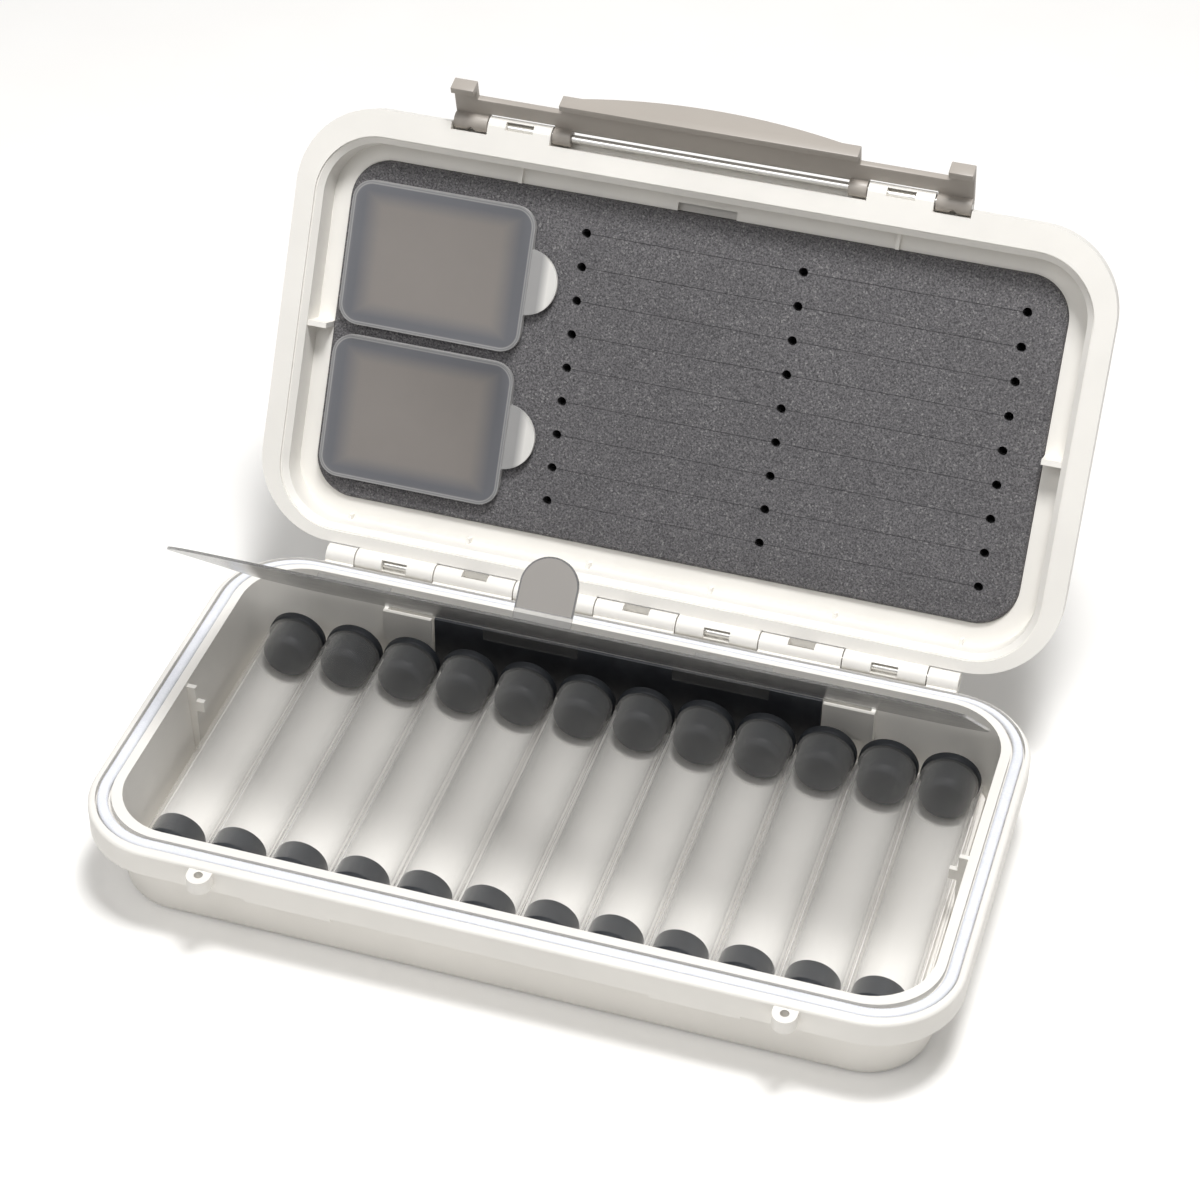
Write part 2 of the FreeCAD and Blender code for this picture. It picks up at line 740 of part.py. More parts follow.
def inner_cover(place):
    """Clear sheet with a finger tab, in the frame of its crease, lying closed."""
    body = doc.addObject("PartDesign::Body", "cover_body")
    sheet_frame = (-cover_length / 2, cover_length / 2, -cover_width, -s.cover_crease, s.cover_corner)
    pad(body, "sheet_pad", outline(body, "sheet_outline", size(0), sheet_frame), s.cover_thickness)
    added = [body]
    tab_rear = -cover_width + s.finger_tab_inset
    tab_half = s.finger_tab_width / 2
    tab_low = (-tab_half, tab_rear - s.cover_thickness, size(0))
    tab_high = (tab_half, tab_rear, s.finger_tab_height - tab_half + s.cover_thickness)
    added.append(block("finger_tab_plate", tab_low, tab_high))
    added.append(rod("finger_tab_round", "y",
                     (size(0), tab_rear - s.cover_thickness, tab_high[2]), s.cover_thickness, tab_half))
    for side, word in ((-1, "left"), (1, "right")):
        low = s.cover_lip_inner if side > 0 else -s.cover_lip_inner - s.cover_lip_length
        added.append(block("cover_lip_" + word, (low, -cover_width, size(0)),
                           (low + s.cover_lip_length, -cover_width + s.cover_thickness, s.cover_lip_height)))
    return finish("inner_cover", fuse("inner_cover", added), place)


def hinge_local(place):
    """A Y place of the closed case, measured from the hinge axis."""
    return place - hinge_setback


def lid_shell(place):
    """Lid in the frame of the hinge axis, lying closed: its rim faces down."""
    body = doc.addObject("PartDesign::Body", "lid_body")
    rear = -s.barrel_radius - s.hinge_gap
    front = hinge_local(-lid_front)
    half = lid_length / 2
    rim_foot = s.lid_rim_gap
    rim = outline(body, "lid_rim_outline", rim_foot, (-half, half, front, rear, s.rim_corner))
    pad(body, "lid_rim_pad", rim, s.lid_rim_depth)
    round_edges(body, "lid_rim_fillet", rim_foot + s.lid_rim_depth, s.edge_round)
    shoulder = s.lid_shoulder
    low_frame = (-half + shoulder, half - shoulder, front + shoulder, rear - shoulder + s.lip_width,
                 s.rim_corner - shoulder)
    drawn = shoulder + s.lid_draft
    high_frame = (-half + drawn, half - drawn, front + drawn, rear - drawn + s.lip_width,
                  s.rim_corner - drawn)
    neck = outline(body, "lid_neck_outline", rim_foot + s.lid_rim_depth - s.edge_round, low_frame)
    crown = outline(body, "lid_crown_outline", s.lid_height, high_frame)
    loft(body, "AdditiveLoft", "lid_dome_loft", (neck, crown))
    round_edges(body, "lid_crown_fillet", s.lid_height, s.lid_top_round)

    rebate_half = rebate_length / 2

    def opening(inset):
        return (-rebate_half + inset, rebate_half - inset, hinge_local(-rebate_front) + inset,
                hinge_local(rebate_rear) - inset, s.rebate_corner - inset)

    rebate_floor = rim_foot + s.rebate_depth
    pocket(body, "lid_rebate", outline(body, "rebate_outline", rebate_floor, opening(size(0))),
           s.rebate_depth + s.overrun)
    mouth = outline(body, "lid_mouth_outline", rebate_floor, opening(s.lid_ridge_inset))
    wall = outline(body, "lid_wall_outline", rebate_floor + s.lid_ridge_drop, opening(lid_wall_inset))
    ledge = outline(body, "lid_ledge_outline", s.lid_ledge_drop, opening(ledge_inset))
    loft(body, "SubtractiveLoft", "lid_cavity_loft", (mouth, wall, ledge))
    ceiling = s.lid_height - s.lid_top_wall
    recess = outline(body, "foam_recess_outline", ceiling, foam_frame(s.foam_clearance))
    pocket(body, "foam_recess", recess, ceiling - rebate_floor)

    pieces = [body] + lid_ribs()
    barrels = []
    for number, (low_x, high_x) in enumerate(LID_SPANS):
        barrels += knuckle("lid_knuckle_%d" % number, low_x, high_x, s.pin_clearance * 4, s.barrel_radius, -1)
    bore = rod("lid_pin_bore", "x", (-knuckle_end - s.overrun, size(0), size(0)),
               2 * (knuckle_end + s.overrun), s.hinge_pin_radius + s.pin_clearance)
    pieces.append(cut("lid_knuckles", fuse("lid_barrels", barrels),
                      [bore] + windows("lid_window", LID_SPANS, -s.barrel_radius, size(0))))
    pieces.append(latch_mounts())
    whole = cut("lid_shell", fuse("lid_solid", pieces), latch_notches() + [finger_tab_room()])
    return finish("lid_shell", whole, place)


def foam_frame(grow):
    """Outline of the foam in the lid's frame, let out by a clearance."""
    half = foam_length / 2 + grow
    side = foam_width / 2 + grow
    return (-half, half, hinge_local(-side), hinge_local(side), s.foam_corner + grow)


def lid_ribs():
    """Small ribs on the ledge around the foam: ticks front and rear, a tall one on each side."""
    half = s.lid_rib_thickness / 2
    low = s.lid_ledge_drop - s.lid_rib_height
    high = s.lid_ledge_drop + s.lid_rib_sink
    rear_wall = hinge_local(rebate_rear) - ledge_inset
    front_wall = hinge_local(-rebate_front) + ledge_inset
    ribs = []
    for share in LID_RIB_SHARES:
        x_place = s.lid_rib_spacing * share
        ribs.append(block("lid_rear_rib_%d" % len(ribs), (x_place - half, rear_wall - s.lid_rib_reach, low),
                          (x_place + half, rear_wall + s.lid_wall_draft + s.lid_rib_sink, high)))
    for share in TOP_RIB_SHARES:
        x_place = s.lid_rib_spacing * share
        ribs.append(block("lid_front_rib_%d" % len(ribs),
                          (x_place - half, front_wall - s.lid_wall_draft - s.lid_rib_sink, s.foam_drop),
                          (x_place + half, hinge_local(-foam_width / 2) - s.foam_clearance, high)))
    foam_half = foam_length / 2 + s.foam_clearance
    wall_half = rebate_length / 2 - lid_wall_inset + s.lid_rib_sink
    side_half = s.side_rib_thickness / 2
    for side in (-1, 1):
        low_x, high_x = (foam_half, wall_half) if side > 0 else (-wall_half, -foam_half)
        ribs.append(block("lid_side_rib_%d" % len(ribs),
                          (low_x, hinge_local(-side_half), s.side_rib_drop),
                          (high_x, hinge_local(side_half), high)))
    return ribs


def finger_tab_room():
    """Notch in the ledge for the inner cover's finger tab when the case is closed."""
    half = s.finger_tab_width / 2 + s.tab_room
    tab_rear = hinge_local(cover_axis_setback - cover_width + s.finger_tab_inset)
    tab_top = s.finger_tab_height + s.cover_thickness - s.cover_axis_drop
    return block("finger_tab_room",
                 (-half, tab_rear - s.cover_thickness - s.tab_room, s.lid_ledge_drop - s.lid_rib_sink),
                 (half, tab_rear + s.tab_room, tab_top + s.tab_room))


latch_y = s.latch_pin_inset - tub_front
latch_mount_low = s.latch_inner_barrel + s.latch_inner_barrel_length + s.latch_gap
latch_mount_high = s.latch_outer_barrel - s.latch_gap
latch_end = s.latch_outer_barrel + s.latch_outer_barrel_length


def latch_mounts():
    """The two lid blocks that hold the latch pin, each with a window on the pin."""
    centre_y = hinge_local(latch_y)
    rim_inner = hinge_local(-lid_front) + s.barrel_radius
    solids = []
    tools = []
    for side, word in ((-1, "left"), (1, "right")):
        low, high = (latch_mount_low, latch_mount_high)
        if side < 0:
            low, high = (-latch_mount_high, -latch_mount_low)
        barrel = rod("latch_mount_barrel_" + word, "x", (low, centre_y, s.latch_pin_lift),
                     high - low, s.latch_barrel_radius)
        block_top = s.latch_pin_lift + s.latch_barrel_radius
        root = block("latch_mount_root_" + word, (low, centre_y, s.lid_rim_gap), (high, rim_inner, block_top))
        solids += [barrel, root]
        middle = (low + high) / 2
        half = s.latch_window_length / 2
        tools.append(block("latch_window_" + word,
                           (middle - half, centre_y - s.latch_window_width / 2, -s.overrun),
                           (middle + half, centre_y + s.latch_window_width / 2, s.latch_pin_lift)))
    tools.append(rod("latch_mount_bore", "x", (-latch_end, centre_y, s.latch_pin_lift),
                     2 * latch_end, s.latch_pin_radius + s.pin_clearance))
    return cut("latch_mounts", fuse("latch_mount_solid", solids), tools)


def latch_notches():
    """Room in the lid's rim for the latch barrels and for the pin between them."""
    centre_y = hinge_local(latch_y)
    clear = s.latch_barrel_radius + s.latch_gap
    low_z = s.latch_pin_lift - clear
    high_z = s.latch_pin_lift + clear
    outer = centre_y - s.overrun
    inner = centre_y + clear
    notches = [rod("latch_pin_room", "x", (-latch_end, centre_y, s.latch_pin_lift),
                   2 * latch_end, s.latch_pin_radius + s.pin_clearance)]
    ends = (
        (s.latch_outer_barrel - s.latch_gap, latch_end + s.latch_gap),
        (-latch_mount_low, latch_mount_low),
        (-latch_end - s.latch_gap, -s.latch_outer_barrel + s.latch_gap),
    )
    for number, (low, high) in enumerate(ends):
        notches.append(block("latch_notch_%d" % number,
                             (low, outer, low_z - s.overrun), (high, inner, high_z)))
    return notches


def latch_pin(place):
    return finish("latch_pin", round_pin("latch_pin", latch_end, s.latch_pin_radius), place)


def latch_bar(place):
    """Latch in the frame of its pin, hanging closed: the hook points to the tub."""
    inner_face = -s.latch_standoff
    outer_face = inner_face - s.latch_thickness
    foot = -s.latch_drop
    pieces = []
    for side, word in ((-1, "left"), (1, "right")):
        for kind, start, length in (("inner", s.latch_inner_barrel, s.latch_inner_barrel_length),
                                    ("outer", s.latch_outer_barrel, s.latch_outer_barrel_length)):
            low = start if side > 0 else -start - length
            tag = kind + "_" + word
            pieces.append(rod("latch_barrel_" + tag, "x", (low, size(0), size(0)), length,
                              s.latch_barrel_radius))
            pieces.append(block("latch_neck_" + tag, (low, outer_face, -s.latch_bar_end),
                                (low + length, inner_face, size(0))))
        ear_low = latch_end - s.latch_ear_length if side > 0 else -latch_end
        pieces.append(block("latch_ear_" + word, (ear_low, outer_face, foot),
                            (ear_low + s.latch_ear_length, inner_face, -s.latch_bar_start)))
        pieces.append(block("latch_ear_hook_" + word, (ear_low, outer_face, foot),
                            (ear_low + s.latch_ear_length, inner_face + s.latch_hook_reach,
                             foot + s.latch_hook_thickness)))
    pieces.append(block("latch_bar_plate", (-latch_end, outer_face, -s.latch_bar_end),
                        (latch_end, inner_face, -s.latch_bar_start)))
    panel = s.latch_panel_half_length
    pieces.append(block("latch_panel", (-panel, outer_face, foot), (panel, inner_face, -s.latch_panel_start)))
    pieces.append(block("latch_hook", (-panel, outer_face, foot),
                        (panel, inner_face + s.latch_hook_reach, foot + s.latch_hook_thickness)))
    pieces.append(latch_grip(outer_face, foot))
    bore = rod("latch_bore", "x", (-latch_end - s.overrun, size(0), size(0)),
               2 * (latch_end + s.overrun), s.latch_pin_radius + s.pin_clearance)
    tools = [bore]
    for side, word in ((-1, "left"), (1, "right")):
        tools.append(ear_hole(word, side * (s.latch_outer_barrel + s.latch_outer_barrel_length / 2)))
    return finish("latch_bar", cut("latch_bar", fuse("latch_solid", pieces), tools), place)


def ear_hole(word, x_place):
    """Half-round hole in an ear's barrel, square to the rim while the latch stands open."""
    hole = doc.addObject("Part::Cylinder", "ear_hole_" + word)
    bind(hole, "Radius", s.ear_hole_radius)
    bind(hole, "Height", 2 * s.overrun)
    opened = Rotation(Vector(1, 0, 0), s.latch_open.number)
    offset = opened.multVec(Vector(0, s.latch_barrel_radius.number, -s.overrun.number))
    hole.Placement = Placement(offset + Vector(x_place.number, 0, 0), opened)
    return hole


def latch_grip(outer_face, foot):
    """Curved lip along the panel's foot that a finger pulls."""
    chord = s.grip_half_length
    bow = s.grip_reach
    radius = (chord * chord + bow * bow) / (2 * bow)
    disc = rod("grip_disc", "z", (size(0), outer_face - bow + radius, foot), s.grip_thickness, radius)
    keep = block("grip_keep", (-chord, outer_face - bow - s.overrun, foot),
                 (chord, outer_face + s.latch_thickness / 2, foot + s.grip_thickness))
    common = doc.addObject("Part::Common", "latch_grip")
    common.Base = disc
    common.Tool = keep
    return common


def lid_foam(place):
    """Foam block with slotted rows of holes and room for the two compartments."""
    body = doc.addObject("PartDesign::Body", "foam_body")
    ceiling = s.lid_height - s.lid_top_wall - s.foam_clearance
    sketch = outline(body, "foam_outline", s.foam_drop, foam_frame(size(0)))
    pad(body, "foam_pad", sketch, ceiling - s.foam_drop)
    round_edges(body, "foam_fillet", s.foam_drop, s.foam_round)
    room = s.box_clearance
    for number, centre_y in enumerate(box_rows()):
        floor = s.foam_drop + s.box_depth + room
        sketch = outline(body, "foam_pocket_outline_%d" % number, floor, box_frame(centre_y, -room))
        pocket(body, "foam_pocket_%d" % number, sketch, floor - s.foam_drop + s.overrun)
    tools = []
    low_x = s.foam_column_centre - s.foam_column_pitch
    high_x = s.foam_column_centre + s.foam_column_pitch
    for row in range(FOAM_ROWS):
        y_place = hinge_local(s.foam_row_pitch * (row - (FOAM_ROWS - 1) / 2))
        for column in range(FOAM_COLUMNS):
            x_place = low_x + s.foam_column_pitch * column
            tools.append(rod("foam_hole_%d_%d" % (row, column), "z",
                             (x_place, y_place, s.foam_drop - s.overrun),
                             s.foam_hole_depth + s.overrun, s.foam_hole_radius))
        tools.append(block("foam_slit_%d" % row,
                           (low_x, y_place - s.foam_slit_width / 2, s.foam_drop - s.overrun),
                           (high_x, y_place + s.foam_slit_width / 2, s.foam_drop + s.foam_slit_depth)))
    return finish("lid_foam", cut("lid_foam", body, tools), place)


def box_rows():
    """Middle of each compartment along Y, with the case closed."""
    pitch = s.box_width + s.box_gap
    return [-pitch / 2, pitch / 2]


def box_frame(centre_y, inset):
    """Outline of a compartment in the lid's frame, drawn in by an inset."""
    middle = hinge_local(centre_y)
    return (-box_centre - s.box_length / 2 + inset, -box_centre + s.box_length / 2 - inset,
            middle - s.box_width / 2 + inset, middle + s.box_width / 2 - inset, s.box_corner - inset)


def compartment(number, centre_y, place):
    """Tray let into the foam, with a thin collar on the foam's face."""
    tag = str(number + 1)
    body = doc.addObject("PartDesign::Body", "box_body_" + tag)
    mouth = s.foam_drop - s.box_collar
    outer = outline(body, "box_outline_" + tag, mouth, box_frame(centre_y, size(0)))
    pad(body, "box_pad_" + tag, outer, s.box_depth)
    collar = outline(body, "collar_outline_" + tag, mouth, box_frame(centre_y, -s.box_collar_width))
    pad(body, "collar_pad_" + tag, collar, s.box_collar - s.foam_clearance)
    floor = mouth + s.box_depth - s.box_wall
    room = outline(body, "box_floor_" + tag, floor, box_frame(centre_y, s.box_wall))
    pocket(body, "box_pocket_" + tag, room, s.box_depth + s.overrun)
    return finish("compartment_tray_" + tag, body, place)


def compartment_lid(number, centre_y, place):
    """Lid of a tray, in the frame of its hinge along the tray's outer end, with a round tab."""
    tag = str(number + 1)
    body = doc.addObject("PartDesign::Body", "box_lid_body_" + tag)
    grow = s.box_collar_width
    side = s.box_width / 2 + grow
    length = s.box_length + 2 * grow
    top = -s.box_lid_gap
    frame = (size(0), length, -side, side, s.box_corner + grow)
    sketch = outline(body, "box_lid_outline_" + tag, top, frame)
    plate = pad(body, "box_lid_pad_" + tag, sketch, s.box_lid_thickness)
    plate.Reversed = True
    border = s.box_lid_border
    shallow = outline(body, "box_lid_recess_outline_" + tag, top - s.box_lid_thickness + s.box_lid_recess,
                      (border, length - border, border - side, side - border, s.box_corner))
    pocket(body, "box_lid_recess_" + tag, shallow, s.box_lid_recess + s.overrun)
    tab = rod("box_tab_" + tag, "z",
              (length + s.box_tab_reach - s.box_tab_radius, size(0), top - s.box_lid_thickness / 2),
              s.box_lid_thickness / 2, s.box_tab_radius)
    away = block("box_tab_cut_" + tag, (size(0), -s.box_width, -s.overrun),
                 (length - border / 2, s.box_width, s.overrun))
    return finish("compartment_lid_" + tag,
                  fuse("compartment_lid_" + tag, [body, cut("box_tab_part_" + tag, tab, [away])]), place)


def build():
    tub_shell()
    seal_gasket()
    hinge_pin()
    vial_rack()
    for number, x_place in enumerate(vial_places()):
        vial(number, x_place)
    cover_strip()
    cover_hinge_leaves()

    along = Vector(1, 0, 0)
    cover_axis = Vector(0, cover_axis_setback.number, (rim_top - s.cover_axis_drop).number)
    inner_cover(Placement(cover_axis, Rotation(along, -s.cover_open.number)))

    lid_place = Placement(Vector(0, hinge_setback.number, rim_top.number),
                          Rotation(along, -s.lid_open.number))
    lid_shell(lid_place)
    latch_place = Placement(Vector(0, hinge_local(latch_y).number, s.latch_pin_lift.number), Rotation())
    latch_pin(lid_place * latch_place)
    latch_bar(lid_place * latch_place * Placement(Vector(), Rotation(along, -s.latch_open.number)))
    lid_foam(lid_place)
    for number, centre_y in enumerate(box_rows()):
        compartment(number, centre_y, lid_place)
        edge = Vector((-box_centre - s.box_length / 2 - s.box_collar_width).number,
                      hinge_local(centre_y).number, (s.foam_drop - s.box_collar).number)
        compartment_lid(number, centre_y, lid_place * Placement(edge, Rotation()))


build()
doc.recompute()

for feature in doc.Objects:
    if "Invalid" in feature.State or "Error" in feature.State:
        raise RuntimeError("%s failed" % feature.Name)

os.makedirs("parts", exist_ok=True)
for name, piece in sub_parts.items():
    shape = piece.Shape
    if shape.isNull() or not shape.isValid():
        raise RuntimeError("%s has no valid shape" % name)
    box = shape.BoundBox
    print("%-22s solids %d  volume %9.1f  x %.1f..%.1f  y %.1f..%.1f  z %.1f..%.1f" % (
        name, len(shape.Solids), shape.Volume, box.XMin, box.XMax, box.YMin, box.YMax, box.ZMin, box.ZMax))
    shape.exportStep(os.path.join("parts", name + ".step"))
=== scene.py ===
import json
import math

import bmesh
import bpy
from bpy.props import FloatProperty, FloatVectorProperty, IntProperty, PointerProperty
from bpy.types import Operator, Panel, PropertyGroup
from mathutils import Matrix, Vector


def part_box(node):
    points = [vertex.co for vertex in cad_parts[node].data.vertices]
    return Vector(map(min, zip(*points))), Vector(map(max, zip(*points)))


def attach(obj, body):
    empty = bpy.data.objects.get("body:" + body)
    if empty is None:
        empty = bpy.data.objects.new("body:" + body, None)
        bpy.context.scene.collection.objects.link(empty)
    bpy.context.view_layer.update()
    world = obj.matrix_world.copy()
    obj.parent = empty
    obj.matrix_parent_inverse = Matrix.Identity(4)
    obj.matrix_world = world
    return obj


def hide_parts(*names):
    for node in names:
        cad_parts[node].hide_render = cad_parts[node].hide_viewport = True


bl_info = {
    "name": "Fly case",
    "version": (1, 0, 0),
    "blender": (4, 5, 0),
    "location": "View3D > Sidebar > Fly case",
    "description": "Dresses the open fly case: shells, seal, vials, inner cover, foam, trays and latch",
    "category": "Object",
}

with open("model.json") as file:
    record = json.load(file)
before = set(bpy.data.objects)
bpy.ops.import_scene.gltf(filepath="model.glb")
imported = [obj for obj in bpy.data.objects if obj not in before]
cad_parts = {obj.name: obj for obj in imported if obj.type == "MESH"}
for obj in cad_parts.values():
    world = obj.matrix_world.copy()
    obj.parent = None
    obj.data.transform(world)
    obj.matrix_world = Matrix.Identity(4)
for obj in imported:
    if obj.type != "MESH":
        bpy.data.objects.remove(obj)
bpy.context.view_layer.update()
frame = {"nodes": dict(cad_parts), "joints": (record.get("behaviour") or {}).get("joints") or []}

MM = 0.001
VIALS = 12
FOAM_ROWS = 9
FOAM_COLUMNS = 3

# Points nearer than this, in metres, are one
SAME_POINT = 1e-7
SAME_CAD_POINT = 1e-6

# Faces of the CAD mesh that turn by less than this, in degrees, are one
FLAT_TURN = 0.5

# Places of the moving frames, from the joints
joints = {joint["name"]: joint for joint in frame["joints"]}
LID_OPEN = -math.radians(joints["lid_hinge"]["range_deg"][0])
COVER_OPEN = -math.radians(joints["cover_hinge"]["range_deg"][0])


def joint_frame(name, turn):
    """Frame at a joint, turned back about X from the closed case."""
    return Matrix.Translation(joints[name]["pos_m"]) @ Matrix.Rotation(-turn, 4, "X")


LID = joint_frame("lid_hinge", LID_OPEN)
COVER = joint_frame("cover_hinge", COVER_OPEN)
WORLD = Matrix.Identity(4)


def local_box(node, place):
    """Lowest and highest corner of a CAD node, in a frame of its own."""
    back = place.inverted()
    corners = [back @ vertex.co for vertex in frame["nodes"][node].data.vertices]
    low = Vector([min(corner[axis] for corner in corners) for axis in range(3)])
    high = Vector([max(corner[axis] for corner in corners) for axis in range(3)])
    return low, high


def srgb(red, green, blue):
    """Linear colour of an 8-bit screen colour."""
    shares = [value / 255 for value in (red, green, blue)]
    linear = [v / 12.92 if v <= 0.04045 else ((v + 0.055) / 1.055) ** 2.4 for v in shares]
    return (*linear, 1.0)


# Selecting and modelling


def only(piece):
    """Selects one object alone and makes it the active one."""
    bpy.ops.object.select_all(action="DESELECT")
    piece.select_set(True)
    bpy.context.view_layer.objects.active = piece
    return piece


def new_piece(name):
    """Names the object that a primitive operator has just made."""
    piece = bpy.context.object
    piece.name = name
    piece.data.name = name
    return only(piece)


def edit(piece, kind="FACE"):
    """Opens a piece in edit mode with nothing selected."""
    only(piece)
    bpy.ops.object.mode_set(mode="EDIT")
    bpy.ops.mesh.select_mode(type=kind)
    bpy.ops.mesh.select_all(action="DESELECT")


def leave():
    bpy.ops.object.mode_set(mode="OBJECT")


def pick(kind, test):
    """Selects the vertices, edges or faces of the edited mesh whose middle and normal pass a test."""
    bpy.ops.mesh.select_all(action="DESELECT")
    mesh = bpy.context.edit_object.data
    shape = bmesh.from_edit_mesh(mesh)
    for part in getattr(shape, kind):
        if kind == "verts":
            middle, normal = part.co, part.normal
        elif kind == "edges":
            middle = (part.verts[0].co + part.verts[1].co) / 2
            normal = (part.verts[1].co - part.verts[0].co).normalized()
        else:
            middle, normal = part.calc_center_median(), part.normal
        if test(middle, normal):
            part.select_set(True)
    shape.select_flush_mode()
    bmesh.update_edit_mesh(mesh)


def pull(x=0.0, y=0.0, z=0.0):
    """Extrudes the selected part by a distance."""
    bpy.ops.mesh.extrude_region_move(TRANSFORM_OT_translate={"value": (x, y, z)})


def inset(width):
    bpy.ops.mesh.inset(thickness=width, depth=0)


def outward(piece):
    """Merges doubles and points every face outwards."""
    edit(piece, "VERT")
    bpy.ops.mesh.select_all(action="SELECT")
    bpy.ops.mesh.remove_doubles(threshold=SAME_POINT)
    bpy.ops.mesh.normals_make_consistent(inside=False)
    leave()


def modify(piece, kind, **settings):
    """Adds a modifier and applies it."""
    only(piece)
    modifier = piece.modifiers.new(kind.title(), kind)
    for name, value in settings.items():
        setattr(modifier, name, value)
    bpy.ops.object.modifier_apply(modifier=modifier.name)
    return piece


def smooth(piece, degrees=35):
    only(piece)
    bpy.ops.object.shade_smooth_by_angle(angle=math.radians(degrees))
    return piece


def settle(piece, place=WORLD):
    """Moves a piece by a place of its own and applies that place to its mesh."""
    piece.matrix_world = place @ piece.matrix_world
    only(piece)
    bpy.ops.object.transform_apply(location=True, rotation=True, scale=True)
    return piece


def block(name, low, high):
    """Box between two corners, in metres."""
    low, high = Vector(low), Vector(high)
    bpy.ops.object.select_all(action="DESELECT")
    bpy.ops.mesh.primitive_cube_add(size=1, location=(low + high) / 2)
    piece = new_piece(name)
    piece.scale = high - low
    bpy.ops.object.transform_apply(location=True, rotation=True, scale=True)
    return piece


def plate(name, low, high, corner, level, steps):
    """Flat face with four round corners, facing up."""
    bpy.ops.object.select_all(action="DESELECT")
    middle = ((low[0] + high[0]) / 2, (low[1] + high[1]) / 2, level)
    bpy.ops.mesh.primitive_plane_add(size=1, location=middle)
    piece = new_piece(name)
    piece.scale = (high[0] - low[0], high[1] - low[1], 1)
    bpy.ops.object.transform_apply(location=True, rotation=True, scale=True)
    edit(piece, "VERT")
    bpy.ops.mesh.select_all(action="SELECT")
    bpy.ops.mesh.bevel(offset=corner, offset_type="OFFSET", segments=steps, affect="VERTICES")
    leave()
    return piece


def slab(name, low, high, corner, steps):
    """Plate with round corners and a thickness, from one corner to another."""
    piece = plate(name, low, high, corner, low[2], steps)
    edit(piece)
    bpy.ops.mesh.select_all(action="SELECT")
    pull(z=high[2] - low[2])
    leave()
    outward(piece)
    return piece


def turned(name, centre, stations, sides, closed=False):
    """Turned shape along Y through a centre: each station is a distance along Y and a radius."""
    first_y, first_radius = stations[0]
    bpy.ops.object.select_all(action="DESELECT")
    bpy.ops.mesh.primitive_circle_add(vertices=sides, radius=first_radius, fill_type="NOTHING",
                                      location=(centre[0], first_y, centre[1]),
                                      rotation=(math.pi / 2, 0, 0))
    piece = new_piece(name)
    bpy.ops.object.transform_apply(location=True, rotation=True, scale=True)
    edit(piece, "EDGE")
    bpy.ops.mesh.select_all(action="SELECT")
    y, radius = first_y, first_radius
    turns = list(stations[1:])
    if closed:
        turns.append(stations[0])
    for next_y, next_radius in turns:
        pull(y=next_y - y)
        if next_radius != radius:
            share = next_radius / radius
            bpy.ops.transform.resize(value=(share, 1, share),
                                     center_override=(centre[0], next_y, centre[1]))
        y, radius = next_y, next_radius
    if not closed:
        bpy.ops.mesh.select_all(action="SELECT")
        bpy.ops.mesh.fill_holes(sides=0)
    leave()
    outward(piece)
    return piece


def arc(centre_y, centre_radius, reach, start, end, steps):
    """Stations of a round edge, from one angle to another in degrees."""
    stations = []
    for number in range(steps + 1):
        angle = math.radians(start + (end - start) * number / steps)
        stations.append((centre_y + reach * math.cos(angle), centre_radius + reach * math.sin(angle)))
    return stations


def carve(piece, tool, operation="DIFFERENCE"):
    """Cuts a tool out of a piece, or adds it, and deletes the tool."""
    modify(piece, "BOOLEAN", object=tool, operation=operation, solver="EXACT")
    only(tool)
    bpy.ops.object.delete()
    return only(piece)


def twin(piece, name):
    """Copy of a piece with a mesh of its own."""
    only(piece)
    bpy.ops.object.duplicate()
    return new_piece(name)


def cad_copy(node, name, bevel=0.0):
    """Merged copy of a CAD node, its edges softened where a width is given."""
    piece = bpy.data.objects.new(name, frame["nodes"][node].data.copy())
    bpy.context.scene.collection.objects.link(piece)
    piece.data.materials.clear()
    edit(piece, "VERT")
    bpy.ops.mesh.select_all(action="SELECT")
    bpy.ops.mesh.remove_doubles(threshold=SAME_CAD_POINT)
    bpy.ops.mesh.customdata_custom_splitnormals_clear()
    bpy.ops.mesh.dissolve_limited(angle_limit=math.radians(FLAT_TURN))
    leave()
    if bevel:
        modify(piece, "BEVEL", width=bevel, segments=2, limit_method="ANGLE",
               angle_limit=math.radians(40), use_clamp_overlap=False, harden_normals=False)
    return smooth(piece)


def hand_over(piece, body, slot, finish, *nodes):
    """Gives a finished piece its material and body, and hides the nodes that it stands for. The slot is
    not used.
    """
    piece.data.materials.clear()
    piece.data.materials.append(finish)
    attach(piece, body)
    if nodes:
        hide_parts(*nodes)
    return piece


# Materials

MIX_FACTOR, MIX_A, MIX_B, MIX_RESULT = 0, 6, 7, 2
PLASTIC_IOR = 1.5


class Link:
    """Node socket that takes part in sums: each sum adds a Math node to its tree."""

    def __init__(self, tree, socket):
        self.tree = tree
        self.socket = socket

    def _math(self, operation, *values):
        node = self.tree.nodes.new("ShaderNodeMath")
        node.operation = operation
        for place, value in zip(node.inputs, values):
            plug(self.tree, place, value)
        return Link(self.tree, node.outputs[0])

    def __add__(self, other):
        return self._math("ADD", self, other)

    def __sub__(self, other):
        return self._math("SUBTRACT", self, other)

    def __rsub__(self, other):
        return self._math("SUBTRACT", other, self)

    def __mul__(self, other):
        return self._math("MULTIPLY", self, other)

    def __truediv__(self, other):
        return self._math("DIVIDE", self, other)

    def __gt__(self, other):
        return self._math("GREATER_THAN", self, other)

    __radd__ = __add__
    __rmul__ = __mul__


def plug(tree, place, value):
    if isinstance(value, Link):
        tree.links.new(value.socket, place)
    else:
        place.default_value = value


